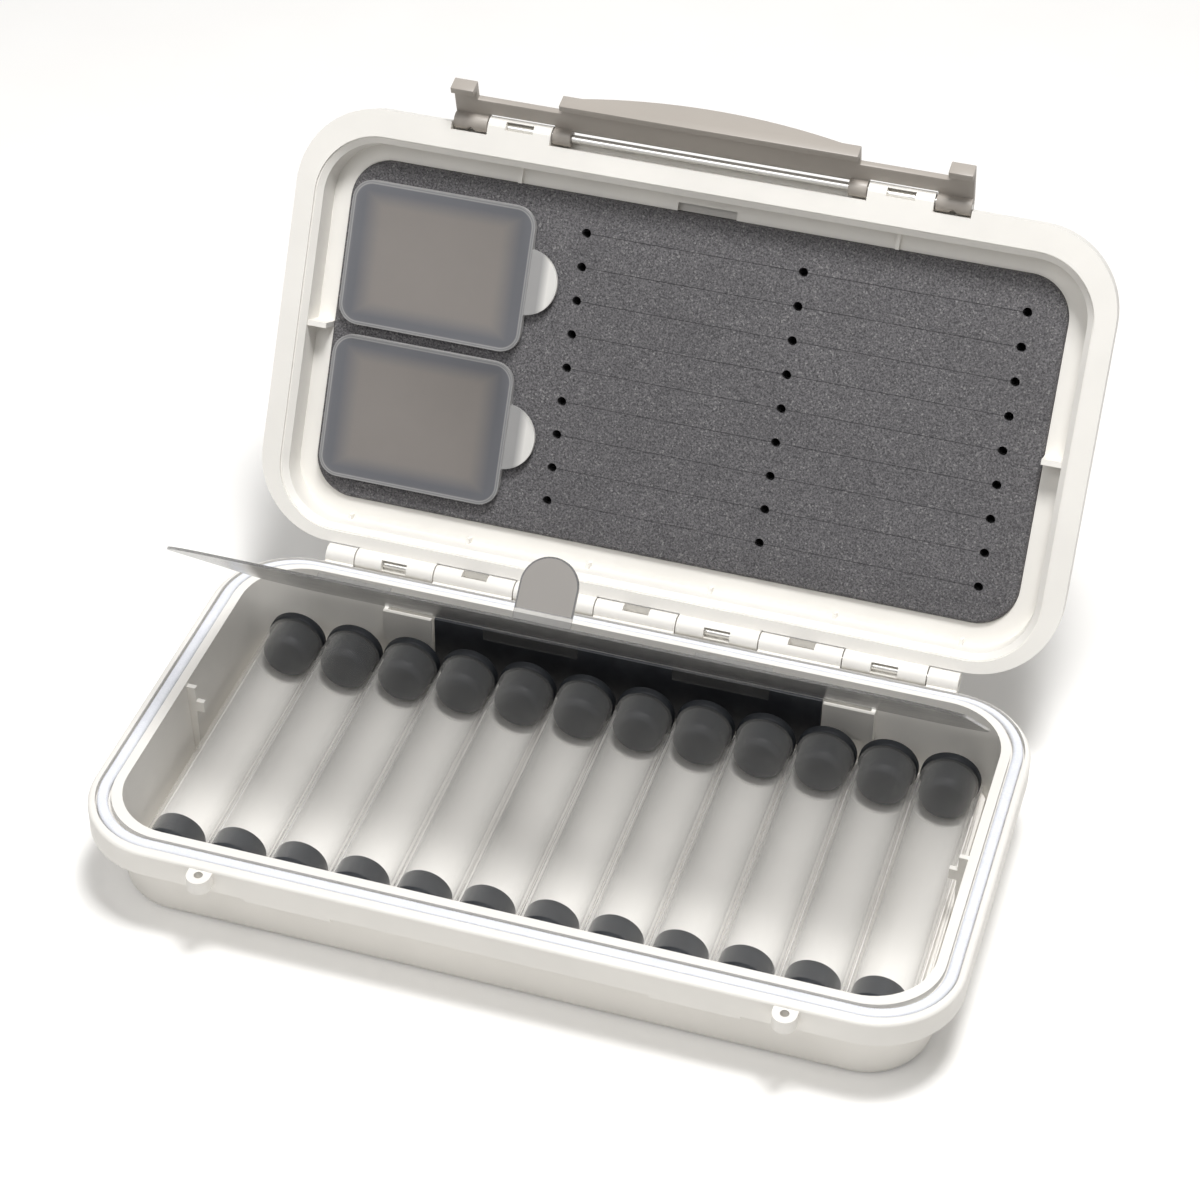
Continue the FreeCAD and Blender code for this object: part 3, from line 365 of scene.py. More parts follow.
class Finish:
    """Material whose nodes are added one by one."""

    def __init__(self, name):
        self.material = bpy.data.materials.new(name)
        self.material.use_nodes = True
        self.tree = self.material.node_tree
        self.tree.nodes.clear()
        self.place = self.add("TexCoord", output="Object")

    def add(self, kind, settings=None, values=None, output=0):
        """Adds a node: its settings first, then the values or links of its sockets."""
        node = self.tree.nodes.new("ShaderNode" + kind)
        for name, value in (settings or {}).items():
            if name == "stops":
                ramp = node.color_ramp
                while len(ramp.elements) < len(value):
                    ramp.elements.new(1.0)
                for element, (position, colour) in zip(ramp.elements, value):
                    element.position = position
                    element.color = colour
            else:
                setattr(node, name, value)
        for name, value in (values or {}).items():
            plug(self.tree, node.inputs[name], value)
        return Link(self.tree, node.outputs[output])

    def noise(self, scale, detail=2.0, roughness=0.5):
        return self.add("TexNoise", values={"Vector": self.place, "Scale": scale, "Detail": detail,
                                            "Roughness": roughness})

    def mix(self, factor, first, second):
        return self.add("Mix", {"data_type": "RGBA"},
                        {MIX_FACTOR: factor, MIX_A: first, MIX_B: second}, MIX_RESULT)

    def ramp(self, value, stops):
        return self.add("ValToRGB", {"stops": stops}, {"Fac": value})

    def bump(self, height, depth, strength=1.0):
        return self.add("Bump", values={"Height": height, "Distance": depth, "Strength": strength})

    def math(self, operation, first, second=0.0):
        return self.add("Math", {"operation": operation}, {0: first, 1: second})

    def axes(self, place, *wanted):
        """The wanted Object coordinates, 0 to 2, in a frame of their own."""
        back = place.inverted()
        turned_place = self.add("Mapping", {"vector_type": "POINT"},
                                {"Vector": self.place, "Location": back.to_translation(),
                                 "Rotation": back.to_euler()})
        return [self.add("SeparateXYZ", values={"Vector": turned_place}, output=axis) for axis in wanted]

    def close(self, shader):
        output = self.tree.nodes.new("ShaderNodeOutputMaterial")
        self.tree.links.new(shader.socket, output.inputs["Surface"])
        return self.material

    def principled(self, **values):
        sockets = {name.replace("_", " "): value for name, value in values.items()}
        return self.close(self.add("BsdfPrincipled", values=sockets))


def grey(value):
    return (value, value, value, 1)


def step(low, high):
    """Ramp from black to white between two positions."""
    return [(low, grey(0)), (high, grey(1))]


def darker(colour, share):
    """A colour's red, green and blue times a share, opaque."""
    return [channel * share for channel in colour[:3]] + [1.0]


def moulded(name, colour, grain=1.0, roughness=0.42):
    """Off-white moulded plastic: faint mottling and a fine spark-eroded grain."""
    finish = Finish(name)
    cloud = finish.noise(scale=45.0, detail=3.0)
    fine = finish.noise(scale=5200.0, detail=2.0)
    roughness_swing = 0.12
    grain_depth = 0.02 * MM
    base = finish.mix(finish.ramp(cloud, step(0.35, 0.7)), colour, darker(colour, share=0.94))
    return finish.principled(Base_Color=base,
                             Roughness=cloud * roughness_swing + (roughness - roughness_swing / 2),
                             Normal=finish.bump(fine, depth=grain_depth * grain, strength=0.35))


def rubber(name, colour, dusty, roughness, grain=0.04, gloss=0.3):
    """Matt rubber with pale dust in its pores."""
    finish = Finish(name)
    cloud = finish.noise(scale=220.0, detail=4.0, roughness=0.6)
    fine = finish.noise(scale=3500.0, detail=3.0)
    roughness_swing = 0.15
    base = finish.mix(finish.ramp(cloud, step(0.35, 0.75)), colour, dusty)
    return finish.principled(Base_Color=base, Roughness=fine * roughness_swing + roughness,
                             Specular_IOR_Level=gloss,
                             Normal=finish.bump(fine, depth=grain * MM, strength=0.5))


def steel(name, dark, light, roughness=0.22):
    """Drawn steel rod, brushed along its length."""
    finish = Finish(name)
    along, across = 60.0, 4000.0
    roughness_swing = 0.15
    brushed = finish.add("Mapping", values={"Vector": finish.place, "Scale": (along, across, across)})
    lines = finish.add("TexNoise", values={"Vector": brushed, "Scale": 1.0, "Detail": 2.0})
    return finish.principled(Base_Color=finish.mix(lines, dark, light), Metallic=1.0,
                             Roughness=lines * roughness_swing + roughness)


def clear(name, tint, edge, roughness=0.06):
    """Clear plastic: invisible from the front and denser where it is seen along its wall, partly a painted
    reflection; the pale, nearly opaque lines at its silhouettes are a painted reflection.
    """
    finish = Finish(name)
    grazing = finish.add("LayerWeight", values={"Blend": 0.5}, output="Facing")
    haze = finish.noise(scale=120.0, detail=3.0)
    rim_power, rim_share = 9.0, 0.6
    haze_share, least_alpha, roughness_swing = 0.012, 0.004, 0.06
    # Pale, nearly opaque lines at the silhouettes: a painted reflection.
    painted_rim = finish.math("POWER", grazing, rim_power)
    alpha = grazing * grazing * edge + painted_rim * rim_share + (haze * haze_share + least_alpha)
    return finish.principled(Base_Color=tint, Roughness=haze * roughness_swing + roughness, Alpha=alpha,
                             IOR=PLASTIC_IOR)


def sheet_plastic(name, tint, tab_tint, line_tint):
    """Thin clear sheet, grey where it is seen along its face, which is a painted reflection, with a smoky
    finger tab in a dark line.
    """
    finish = Finish(name)
    grazing = finish.add("LayerWeight", values={"Blend": 0.5}, output="Facing")
    haze = finish.noise(scale=60.0, detail=3.0)
    tab_half = 6.4 * MM
    line = 0.35 * MM
    tab_fade = 5.0 * MM
    painted_reflection_share, haze_share, least_alpha, tab_alpha = 0.7, 0.05, 0.27, 0.93
    roughness, roughness_swing = 0.12, 0.1
    x, height = finish.axes(COVER, 0, 2)
    on_tab = finish.ramp(height * (1 / tab_fade), step(0.5, 0.62))
    round_centre = local_box("inner_cover", COVER)[1].z - tab_half
    over = finish.math("MAXIMUM", height - round_centre, 0.0)
    on_line = (x * x + over * over) > (tab_half - line) ** 2
    base = finish.mix(haze, tint, darker(tint, share=0.8))
    base = finish.mix(on_tab, base, finish.mix(on_line, tab_tint, line_tint))
    # The grey that rises where the sheet is seen along its face is a painted reflection.
    sheet_alpha = grazing * grazing * grazing * painted_reflection_share + (haze * haze_share + least_alpha)
    alpha = finish.math("MAXIMUM", sheet_alpha, on_tab * tab_alpha)
    return finish.principled(Base_Color=base, Roughness=haze * roughness_swing + roughness, Alpha=alpha,
                             IOR=PLASTIC_IOR)


def foam_finish(name, dark, light, speck, pore):
    """Dense closed-cell foam: small cells, dark pores and a few pale specks."""
    finish = Finish(name)
    cell = {"Vector": finish.place, "Scale": 2900.0}
    speck_share, pore_share, cloud_share = 0.3, 0.3, 0.2
    coarse_height, cell_height = 0.6, 0.5
    cells = finish.add("TexVoronoi", {"feature": "F1"}, cell)
    tone = finish.add("TexVoronoi", {"feature": "F1"}, cell, output="Color")
    brightness = finish.add("SeparateColor", values={"Color": tone})
    coarse = finish.noise(scale=2200.0, detail=3.0, roughness=0.75)
    cloud = finish.noise(scale=50.0, detail=3.0)
    base = finish.mix(finish.ramp(coarse, step(0.36, 0.64)), dark, light)
    base = finish.mix(finish.ramp(brightness, step(0.9, 0.99)) * speck_share, base, speck)
    base = finish.mix(finish.ramp(cells, [(0.0, grey(1)), (0.3, grey(0))]) * pore_share, base, pore)
    base = finish.mix(finish.ramp(cloud, step(0.4, 0.75)) * cloud_share, base, dark)
    height = coarse * coarse_height + cells * cell_height
    return finish.principled(Base_Color=base, Roughness=0.92,
                             Normal=finish.bump(height, depth=0.12 * MM, strength=0.7))


def frosted(name, painted_rim, middle, tab, opacity):
    """Milky plastic: warm and clouded in the middle of each box, darker and bluish at its rim, which is
    painted shade, with pale lines round its corners and a pale tab, which are painted highlights.
    """
    finish = Finish(name)
    low, high = local_box("compartment_tray_1", LID)
    next_low, next_high = local_box("compartment_tray_2", LID)
    centre, next_centre = (low + high) / 2, (next_low + next_high) / 2
    size = high - low
    corner = 5.0 * MM
    tab_reach = 6.0 * MM
    edge_highlight_share, rim_alpha, tab_alpha, cloud_alpha = 0.5, 0.08, 0.35, 0.06
    x, y = finish.axes(LID, 0, 1)
    across = finish.math("ABSOLUTE", x - centre.x) / size.x
    from_middle = finish.math("ABSOLUTE", y - (centre.y + next_centre.y) / 2)
    along = finish.math("ABSOLUTE", from_middle - abs(centre.y - next_centre.y) / 2) / size.y
    # Darker, bluish rim of each box: painted shade.
    painted_rim_shade = finish.ramp(finish.math("MAXIMUM", across, along), step(0.33, 0.43))
    out_x = finish.math("MAXIMUM", across * size.x - (size.x / 2 - corner), 0.0)
    out_y = finish.math("MAXIMUM", along * size.y - (size.y / 2 - corner), 0.0)
    from_corner = finish.math("SQRT", out_x * out_x + out_y * out_y) / corner
    # Pale double lines round the round corners: painted highlights.
    painted_edge_highlight = finish.ramp(from_corner, [(0.8, grey(0)), (0.86, grey(1)), (0.9, grey(0.3)), (1.0, grey(1))])
    # Pale tab: a painted highlight.
    on_tab = finish.ramp((x - high.x) / tab_reach, step(0.45, 0.8))
    cloud = finish.noise(scale=90.0, detail=3.0)
    fine = finish.noise(scale=2600.0, detail=2.0)
    base = finish.mix(painted_rim_shade, middle, painted_rim)
    base = finish.mix(painted_edge_highlight * edge_highlight_share, base, tab)
    base = finish.mix(on_tab, base, tab)
    alpha = painted_rim_shade * rim_alpha + on_tab * tab_alpha + (cloud * cloud_alpha + opacity)
    return finish.principled(Base_Color=base, Roughness=0.32, Alpha=finish.math("MINIMUM", alpha, 1.0),
                             Normal=finish.bump(fine, depth=0.01 * MM, strength=0.4))


class FLYCASE_PG_colours(PropertyGroup):
    """Colours of the case."""

    case: FloatVectorProperty(name="Case", description="Moulded plastic of the tub and the lid",
                              subtype="COLOR", size=4, default=srgb(240, 237, 231), min=0, max=1)
    # The latch is the case's plastic; this darker colour is painted shade.
    latch: FloatVectorProperty(name="Latch", description="Moulded plastic of the latch",
                               subtype="COLOR", size=4, default=srgb(166, 159, 151), min=0, max=1)
    seal: FloatVectorProperty(name="Seal", description="Rubber ring on the tub's rim",
                              subtype="COLOR", size=4, default=srgb(228, 230, 237), min=0, max=1)
    rack: FloatVectorProperty(name="Rack", description="Insert that carries the vials",
                              subtype="COLOR", size=4, default=srgb(244, 241, 236), min=0, max=1)
    strip: FloatVectorProperty(name="Strip", description="Dark strip along the rear wall",
                               subtype="COLOR", size=4, default=srgb(38, 39, 43), min=0, max=1)
    stopper: FloatVectorProperty(name="Stoppers", description="Dark rubber of stoppers and end caps",
                                 subtype="COLOR", size=4, default=srgb(34, 36, 40), min=0, max=1)


class FLYCASE_PG_sizes(PropertyGroup):
    """Sizes of the finer shapes, in metres."""

    seal_gap: FloatProperty(name="Seal gap", description="Shadow gap on each side of the seal",
                            default=0.34 * MM, unit="LENGTH")
    seal_width: FloatProperty(name="Seal width", description="Width of the CAD seal at front and sides",
                              default=3.2 * MM, unit="LENGTH")
    seal_corner: FloatProperty(name="Seal corner", description="Outer corner radius of the CAD seal",
                               default=18.15 * MM, unit="LENGTH")
    seal_rear_cut: FloatProperty(name="Seal rear cut", description="What the rear run is narrower by",
                                 default=1.0 * MM, unit="LENGTH")
    seal_edge: FloatProperty(name="Seal edge", description="Rounding of the seal",
                             default=1.15 * MM, unit="LENGTH")
    tube_wall: FloatProperty(name="Tube wall", description="Wall of the vial tubes",
                             default=0.7 * MM, unit="LENGTH")
    plug_gap: FloatProperty(name="Plug gap", description="Room between a plug and its tube",
                            default=0.05 * MM, unit="LENGTH")
    foam_corner: FloatProperty(name="Foam corner", description="Corner radius of the foam block",
                               default=10.0 * MM, unit="LENGTH")
    foam_edge: FloatProperty(name="Foam edge", description="Rounding of the foam's edges",
                             default=1.1 * MM, unit="LENGTH")
    hole_radius: FloatProperty(name="Hole radius", description="Radius of the foam's holes",
                               default=1.15 * MM, unit="LENGTH")
    hole_depth: FloatProperty(name="Hole depth", description="Depth of the foam's holes",
                              default=8.0 * MM, unit="LENGTH")
    slit_width: FloatProperty(name="Slit width", description="Width of the foam's slits",
                              default=0.12 * MM, unit="LENGTH")
    slit_depth: FloatProperty(name="Slit depth", description="Depth of the foam's slits",
                              default=1.0 * MM, unit="LENGTH")
    row_pitch: FloatProperty(name="Row pitch", description="Distance between two slits",
                             default=8.16 * MM, unit="LENGTH")
    column_pitch: FloatProperty(name="Column pitch", description="Distance between two columns of holes",
                                default=53.0 * MM, unit="LENGTH")
    column_middle: FloatProperty(name="Column middle", description="Place of the middle column in the lid",
                                 default=25.1 * MM, unit="LENGTH")
    box_corner: FloatProperty(name="Box corner", description="Corner radius of the compartment lids",
                              default=5.0 * MM, unit="LENGTH")
    box_edge: FloatProperty(name="Box edge", description="Rounding of the compartment lids",
                            default=0.35 * MM, unit="LENGTH")
    tab_radius: FloatProperty(name="Tab radius", description="Radius of the compartment lids' tabs",
                              default=8.0 * MM, unit="LENGTH")
    tray_edge: FloatProperty(name="Tray edge", description="Rounding of the compartment trays",
                             default=0.25 * MM, unit="LENGTH")
    insert_edge: FloatProperty(name="Insert edge", description="Rounding of the rack and the latch",
                               default=0.2 * MM, unit="LENGTH")
    strip_edge: FloatProperty(name="Strip edge", description="Rounding of the cover strip",
                              default=0.15 * MM, unit="LENGTH")
    leaf_edge: FloatProperty(name="Leaf edge", description="Rounding of the cover's hinge leaves",
                             default=0.1 * MM, unit="LENGTH")
    sides: IntProperty(name="Sides", description="Sides of each round piece", default=40, min=12)


class FLYCASE_PG_view(PropertyGroup):
    """Camera of the photograph's view."""

    azimuth: FloatProperty(name="Azimuth", description="Turn of the camera about Z",
                           default=math.radians(16.635), subtype="ANGLE")
    elevation: FloatProperty(name="Elevation", description="Height angle of the camera",
                             default=math.radians(38.876), subtype="ANGLE")
    roll: FloatProperty(name="Roll", description="Turn of the picture", default=math.radians(0.824),
                        subtype="ANGLE")
    distance: FloatProperty(name="Distance", description="From the target to the camera",
                            default=746.2 * MM, unit="LENGTH")
    target: FloatVectorProperty(name="Target", description="Point that the camera looks at",
                                default=(-14.0 * MM, 81.26 * MM, 24.5 * MM), unit="LENGTH")
    lens: FloatProperty(name="Lens", description="Focal length in millimetres", default=90.94)
    shift_x: FloatProperty(name="Shift X", description="Sideways shift of the picture", default=-0.01127)
    shift_y: FloatProperty(name="Shift Y", description="Upward shift of the picture", default=-0.0516)


finishes = {}


def make_finishes(colours):
    """Makes each material once."""
    finishes["case_plastic"] = moulded("case_plastic", tuple(colours.case))
    # The case's plastic in the latch's darker colour: painted shade.
    finishes["latch_plastic"] = moulded("latch_plastic", tuple(colours.latch))
    finishes["rack_plastic"] = moulded("rack_plastic", tuple(colours.rack), grain=0.5, roughness=0.3)
    finishes["strip_plastic"] = rubber("strip_plastic", tuple(colours.strip), dusty=srgb(52, 54, 58),
                                       roughness=0.35, grain=0.01)
    finishes["seal_rubber"] = rubber("seal_rubber", tuple(colours.seal), dusty=srgb(238, 240, 245),
                                     roughness=0.2, grain=0.01, gloss=0.5)
    finishes["stopper_rubber"] = rubber("stopper_rubber", tuple(colours.stopper), dusty=srgb(42, 45, 49),
                                        roughness=0.42)
    finishes["pin_steel"] = steel("pin_steel", dark=srgb(190, 188, 184), light=srgb(214, 213, 210))
    # The tubes' pale tint shows most at their silhouettes, as a painted reflection.
    finishes["vial_clear"] = clear("vial_clear", tint=srgb(240, 238, 234), edge=0.3)
    # The cover's grey, strongest where it is seen along its face, is partly a painted reflection.
    finishes["cover_clear"] = sheet_plastic("cover_clear", tint=srgb(118, 117, 116),
                                            tab_tint=srgb(124, 119, 113), line_tint=srgb(70, 69, 68))
    finishes["foam"] = foam_finish("foam", dark=srgb(62, 61, 63), light=srgb(122, 120, 122),
                                   speck=srgb(196, 194, 192), pore=srgb(40, 40, 42))
    # The boxes' darker rims are painted shade; their pale tab colours, on the corner lines and tabs, are
    # painted highlights.
    finishes["tray_frosted"] = frosted("tray_frosted", painted_rim=srgb(112, 113, 118), middle=srgb(150, 142, 135),
                                       tab=srgb(190, 188, 186), opacity=0.8)
    finishes["box_lid_frosted"] = frosted("box_lid_frosted", painted_rim=srgb(120, 121, 126),
                                          middle=srgb(160, 154, 149), tab=srgb(226, 224, 220), opacity=0.5)


class FlyCaseStep:
    """What the operators of this add-on share."""

    bl_options = {"REGISTER", "UNDO"}

    def execute(self, context):
        self.make(context.scene.fly_sizes)
        return {"FINISHED"}


class FLYCASE_OT_finishes(Operator):
    """Makes the materials"""

    bl_idname = "flycase.finishes"
    bl_label = "Materials"

    def execute(self, context):
        make_finishes(context.scene.fly_colours)
        return {"FINISHED"}


class FLYCASE_OT_shells(FlyCaseStep, Operator):
    """Gives the tub and the lid their moulded finish"""

    bl_idname = "flycase.shells"
    bl_label = "Tub and lid"

    def make(self, sizes):
        for node, body in (("tub_shell", "tub"), ("lid_shell", "lid")):
            piece = cad_copy(node, node + "_moulded")
            hand_over(piece, body, "case_plastic", finishes["case_plastic"], node)


class FLYCASE_OT_seal(FlyCaseStep, Operator):
    """Models the seal as a round bead in its groove"""

    bl_idname = "flycase.seal"
    bl_label = "Seal"

    def make(self, sizes):
        gap = Vector((sizes.seal_gap, sizes.seal_gap, 0))
        low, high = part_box("seal_gasket")
        low, high = low + gap, high - gap
        bead = sizes.seal_width - 2 * sizes.seal_gap
        corner = sizes.seal_corner - sizes.seal_gap
        piece = plate("seal_bead", low, high, corner, low.z, steps=16)
        edit(piece)
        bpy.ops.mesh.select_all(action="SELECT")
        inset(bead)
        bpy.ops.mesh.select_mode(type="VERT")
        middle_y = (low.y + high.y) / 2
        pick("verts", lambda place, normal: place.y > middle_y
             and self.is_inner(place, low, high, bead, corner))
        bpy.ops.transform.translate(value=(0, sizes.seal_rear_cut, 0))
        bpy.ops.mesh.select_mode(type="FACE")
        pick("faces", lambda place, normal: self.is_opening(place))
        bpy.ops.mesh.delete(type="FACE")
        bpy.ops.mesh.select_all(action="SELECT")
        pull(z=high.z - low.z)
        leave()
        outward(piece)
        modify(piece, "BEVEL", width=sizes.seal_edge, segments=5, limit_method="ANGLE",
               angle_limit=math.radians(60), use_clamp_overlap=True)
        smooth(piece, degrees=50)
        hand_over(piece, "tub", "seal_rubber", finishes["seal_rubber"], "seal_gasket")

    @staticmethod
    def is_inner(place, low, high, bead, corner):
        """True for the loop that the inset made."""
        end_share, rear_share = 0.9, 0.5
        if not low.x + bead * end_share < place.x < high.x - bead * end_share:
            return False
        if place.y >= high.y - bead * rear_share:
            return False
        reach_x = max(abs(place.x) - (high.x - corner), 0)
        reach_y = max(place.y - (high.y - corner), 0)
        return math.hypot(reach_x, reach_y) < corner - bead / 2

    @staticmethod
    def is_opening(place):
        """True for the face inside the ring, whose middle is near the tub's."""
        near_x, near_y = 5.0 * MM, 20.0 * MM
        return abs(place.x) < near_x and abs(place.y) < near_y


class FLYCASE_OT_pins(FlyCaseStep, Operator):
    """Gives the steel pins their finish"""

    bl_idname = "flycase.pins"
    bl_label = "Pins"

    def make(self, sizes):
        for node, body in (("hinge_pin", "tub"), ("latch_pin", "lid")):
            piece = cad_copy(node, node + "_steel")
            hand_over(piece, body, "pin_steel", finishes["pin_steel"], node)


class FLYCASE_OT_insert(FlyCaseStep, Operator):
    """Softens the rack, the cover strip and the cover's hinge leaves"""

    bl_idname = "flycase.insert"
    bl_label = "Rack and cover strip"

    def make(self, sizes):
        piece = cad_copy("vial_rack", "vial_rack_moulded", sizes.insert_edge)
        hand_over(piece, "tub", "rack_plastic", finishes["rack_plastic"], "vial_rack")
        piece = cad_copy("cover_strip", "cover_strip_moulded", sizes.strip_edge)
        hand_over(piece, "tub", "strip_plastic", finishes["strip_plastic"], "cover_strip")
        piece = cad_copy("cover_hinge_leaves", "cover_hinge_leaves_clear", sizes.leaf_edge)
        hand_over(piece, "tub", "cover_clear", finishes["cover_clear"], "cover_hinge_leaves")


class FLYCASE_OT_vials(FlyCaseStep, Operator):
    """Turns the tubes, stoppers and end caps"""

    bl_idname = "flycase.vials"
    bl_label = "Vials"

    def make(self, sizes):
        low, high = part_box("vial_tube_01")
        centre = ((low.x + high.x) / 2, (low.z + high.z) / 2)
        radius = (high.x - low.x) / 2
        plug = radius - sizes.tube_wall - sizes.plug_gap
        pieces = {
            "tube": self.tube(centre, low.y, high.y, radius, sizes),
            "stopper": self.stopper(centre, high.y, plug, sizes),
            "end_cap": self.end_cap(centre, low.y, radius, plug, sizes),
        }
        slots = {"tube": "vial_clear", "stopper": "stopper_rubber", "end_cap": "stopper_rubber"}
        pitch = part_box("vial_tube_02")[0].x - low.x
        for kind, first in pieces.items():
            for number in range(1, VIALS):
                piece = twin(first, "vial_%s_%02d_turned" % (kind, number + 1))
                settle(piece, Matrix.Translation((pitch * number, 0, 0)))
        for kind, slot in slots.items():
            for number in range(VIALS):
                tag = "%02d" % (number + 1)
                piece = bpy.data.objects["vial_%s_%s_turned" % (kind, tag)]
                hand_over(piece, "vial_" + tag, slot, finishes[slot], "vial_%s_%s" % (kind, tag))

    def tube(self, centre, front, rear, radius, sizes):
        """Tube with round lips. It casts no shadow, which would turn dark through so many clear walls."""
        lip = sizes.tube_wall / 2
        rear_lip = arc(rear - lip, radius - lip, lip, 90, -90, 6)
        front_lip = arc(front + lip, radius - lip, lip, -90, -270, 6)
        piece = turned("vial_tube_01_turned", centre, rear_lip + front_lip, sizes.sides, closed=True)
        piece.visible_shadow = False
        return smooth(piece, degrees=60)

    def stopper(self, centre, tube_rear, plug, sizes):
        """Flange with a shallow dimple behind, and a domed plug inside the tube."""
        low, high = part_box("vial_stopper_01")
        flange = (high.x - low.x) / 2
        edge = 0.45 * MM
        dome = 2.6 * MM
        seat = 0.1 * MM
        nose = 0.12 * MM
        nose_share = 0.35
        dimple, dimple_share = 0.5 * MM, 0.45
        dimple_lip, dimple_lip_share = 0.3 * MM, 0.5
        stations = [(high.y - dimple, flange * dimple_share)]
        stations += [(high.y - dimple_lip, flange * dimple_lip_share)]
        stations += arc(high.y - edge, flange - edge, edge, 0, 90, 5)
        stations += arc(tube_rear + edge, flange - edge, edge, 90, 180, 5)
        stations += [(tube_rear, plug), (tube_rear - seat, plug)]
        stations += arc(low.y + dome, plug - dome, dome, 90, 150, 6)
        stations += [(low.y + nose, plug * nose_share)]
        piece = turned("vial_stopper_01_turned", centre, stations, sizes.sides)
        return smooth(piece, degrees=50)

    def end_cap(self, centre, tube_front, radius, plug, sizes):
        """Disc with a shallow round recess in front, and a plug inside the tube."""
        low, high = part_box("vial_end_cap_01")
        edge = 0.35 * MM
        plug_edge = 0.4 * MM
        recess, recess_depth, recess_wall = 4.6 * MM, 0.5 * MM, 0.45 * MM
        recess_draft, floor_share = 0.1 * MM, 0.9
        stations = [(low.y + recess_depth, recess * floor_share), (low.y + recess_wall, recess)]
        stations += [(low.y, recess + recess_draft)]
        stations += arc(low.y + edge, radius - edge, edge, 180, 90, 5)
        stations += [(tube_front, radius), (tube_front, plug), (high.y - plug_edge, plug)]
        stations += arc(high.y - plug_edge, plug - plug_edge, plug_edge, 90, 0, 4)
        piece = turned("vial_end_cap_01_turned", centre, stations, sizes.sides)
        return smooth(piece, degrees=50)


class FLYCASE_OT_cover(FlyCaseStep, Operator):
    """Gives the clear inner cover its finish"""

    bl_idname = "flycase.cover"
    bl_label = "Inner cover"

    def make(self, sizes):
        piece = cad_copy("inner_cover", "inner_cover_clear")
        hand_over(piece, "cover", "cover_clear", finishes["cover_clear"], "inner_cover")


class FLYCASE_OT_foam(FlyCaseStep, Operator):
    """Models the foam block with its holes and slits"""

    bl_idname = "flycase.foam"
    bl_label = "Foam"

    def make(self, sizes):
        low, high = local_box("lid_foam", LID)
        piece = slab("lid_foam_block", low, high, sizes.foam_corner, steps=10)
        modify(piece, "BEVEL", width=sizes.foam_edge, segments=3, limit_method="ANGLE",
               angle_limit=math.radians(50))
        tools = self.tray_rooms()
        for row in range(FOAM_ROWS):
            y = (low.y + high.y) / 2 + sizes.row_pitch * (row - (FOAM_ROWS - 1) / 2)
            tools += self.row_tools(y, low.z, sizes)
        for tool in tools:
            carve(piece, tool)
        settle(piece, LID)
        smooth(piece, degrees=40)
        hand_over(piece, "lid", "foam", finishes["foam"], "lid_foam")

    def tray_rooms(self):
        """Tools that cut the rooms of the two trays, a little inside their rims."""
        inset_by, below, above, corner = 0.6 * MM, 2.0 * MM, 0.2 * MM, 5.2 * MM
        room = Vector((inset_by, inset_by, 0))
        tools = []
        for tray in ("compartment_tray_1", "compartment_tray_2"):
            low, high = local_box(tray, LID)
            tools.append(slab("room", low + room - Vector((0, 0, below)),
                              high - room + Vector((0, 0, above)), corner, steps=6))
        return tools

    def row_tools(self, y, face, sizes):
        """Tools of one row: its holes, and the slit that joins them."""
        tools = []
        for column in range(FOAM_COLUMNS):
            x = sizes.column_middle + sizes.column_pitch * (column - 1)
            bpy.ops.object.select_all(action="DESELECT")
            bpy.ops.mesh.primitive_cylinder_add(vertices=14, radius=sizes.hole_radius,
                                                depth=2 * sizes.hole_depth, location=(x, y, face))
            tools.append(new_piece("hole"))
        half = sizes.slit_width / 2
        start = sizes.column_middle - sizes.column_pitch
        end = sizes.column_middle + sizes.column_pitch
        tools.append(block("slit", (start, y - half, face - sizes.slit_depth),
                           (end, y + half, face + sizes.slit_depth)))
        return tools


class FLYCASE_OT_trays(FlyCaseStep, Operator):
    """Softens the two compartment trays and models their lids"""

    bl_idname = "flycase.trays"
    bl_label = "Compartments"

    def make(self, sizes):
        for number, word in ((1, "upper"), (2, "lower")):
            node = "compartment_tray_%d" % number
            piece = cad_copy(node, node + "_frosted", sizes.tray_edge)
            hand_over(piece, "lid", "tray_frosted", finishes["tray_frosted"], node)
            node = "compartment_lid_%d" % number
            piece = self.box_lid(node, node + "_frosted", sizes)
            hand_over(piece, "compartment_lid_" + word, "tray_frosted", finishes["box_lid_frosted"], node)

    def box_lid(self, node, name, sizes):
        """Lid of a compartment: a slab with round corners, and a thinner round tab on its open side."""
        low, high = local_box(node, LID)
        edge_x = local_box(node.replace("lid", "tray"), LID)[1].x
        middle = (low.y + high.y) / 2
        tab = sizes.tab_radius
        tab_thickness = 1.0 * MM
        corner_share = 0.995
        piece = slab(name, low, (edge_x, high.y, high.z), sizes.box_corner, steps=8)
        tab_low = (high.x - 2 * tab, middle - tab, high.z - tab_thickness)
        tool = slab("tab", tab_low, (high.x, middle + tab, high.z), tab * corner_share, steps=12)
        carve(piece, tool, "UNION")
        self.soften_tab_root(piece, edge_x, middle, tab, high.x - edge_x)
        outward(piece)
        modify(piece, "BEVEL", width=sizes.box_edge, segments=3, limit_method="ANGLE",
               angle_limit=math.radians(50))
        settle(piece, LID)
        return smooth(piece, degrees=40)

    def soften_tab_root(self, piece, edge_x, middle, tab, reach):
        """Bevels the upright edges where the tab leaves the lid. The tab's outline stays nearly round."""
        upright, near_x, near_y, softness = 0.9, 0.3 * MM, 1.2 * MM, 3.2 * MM
        half = math.sqrt(max(tab ** 2 - (tab - reach) ** 2, 0))
        edit(piece, "EDGE")
        pick("edges", lambda place, along: abs(along.z) > upright and abs(place.x - edge_x) < near_x
             and abs(abs(place.y - middle) - half) < near_y)
        bpy.ops.mesh.bevel(offset=softness, segments=6, affect="EDGES")
        leave()


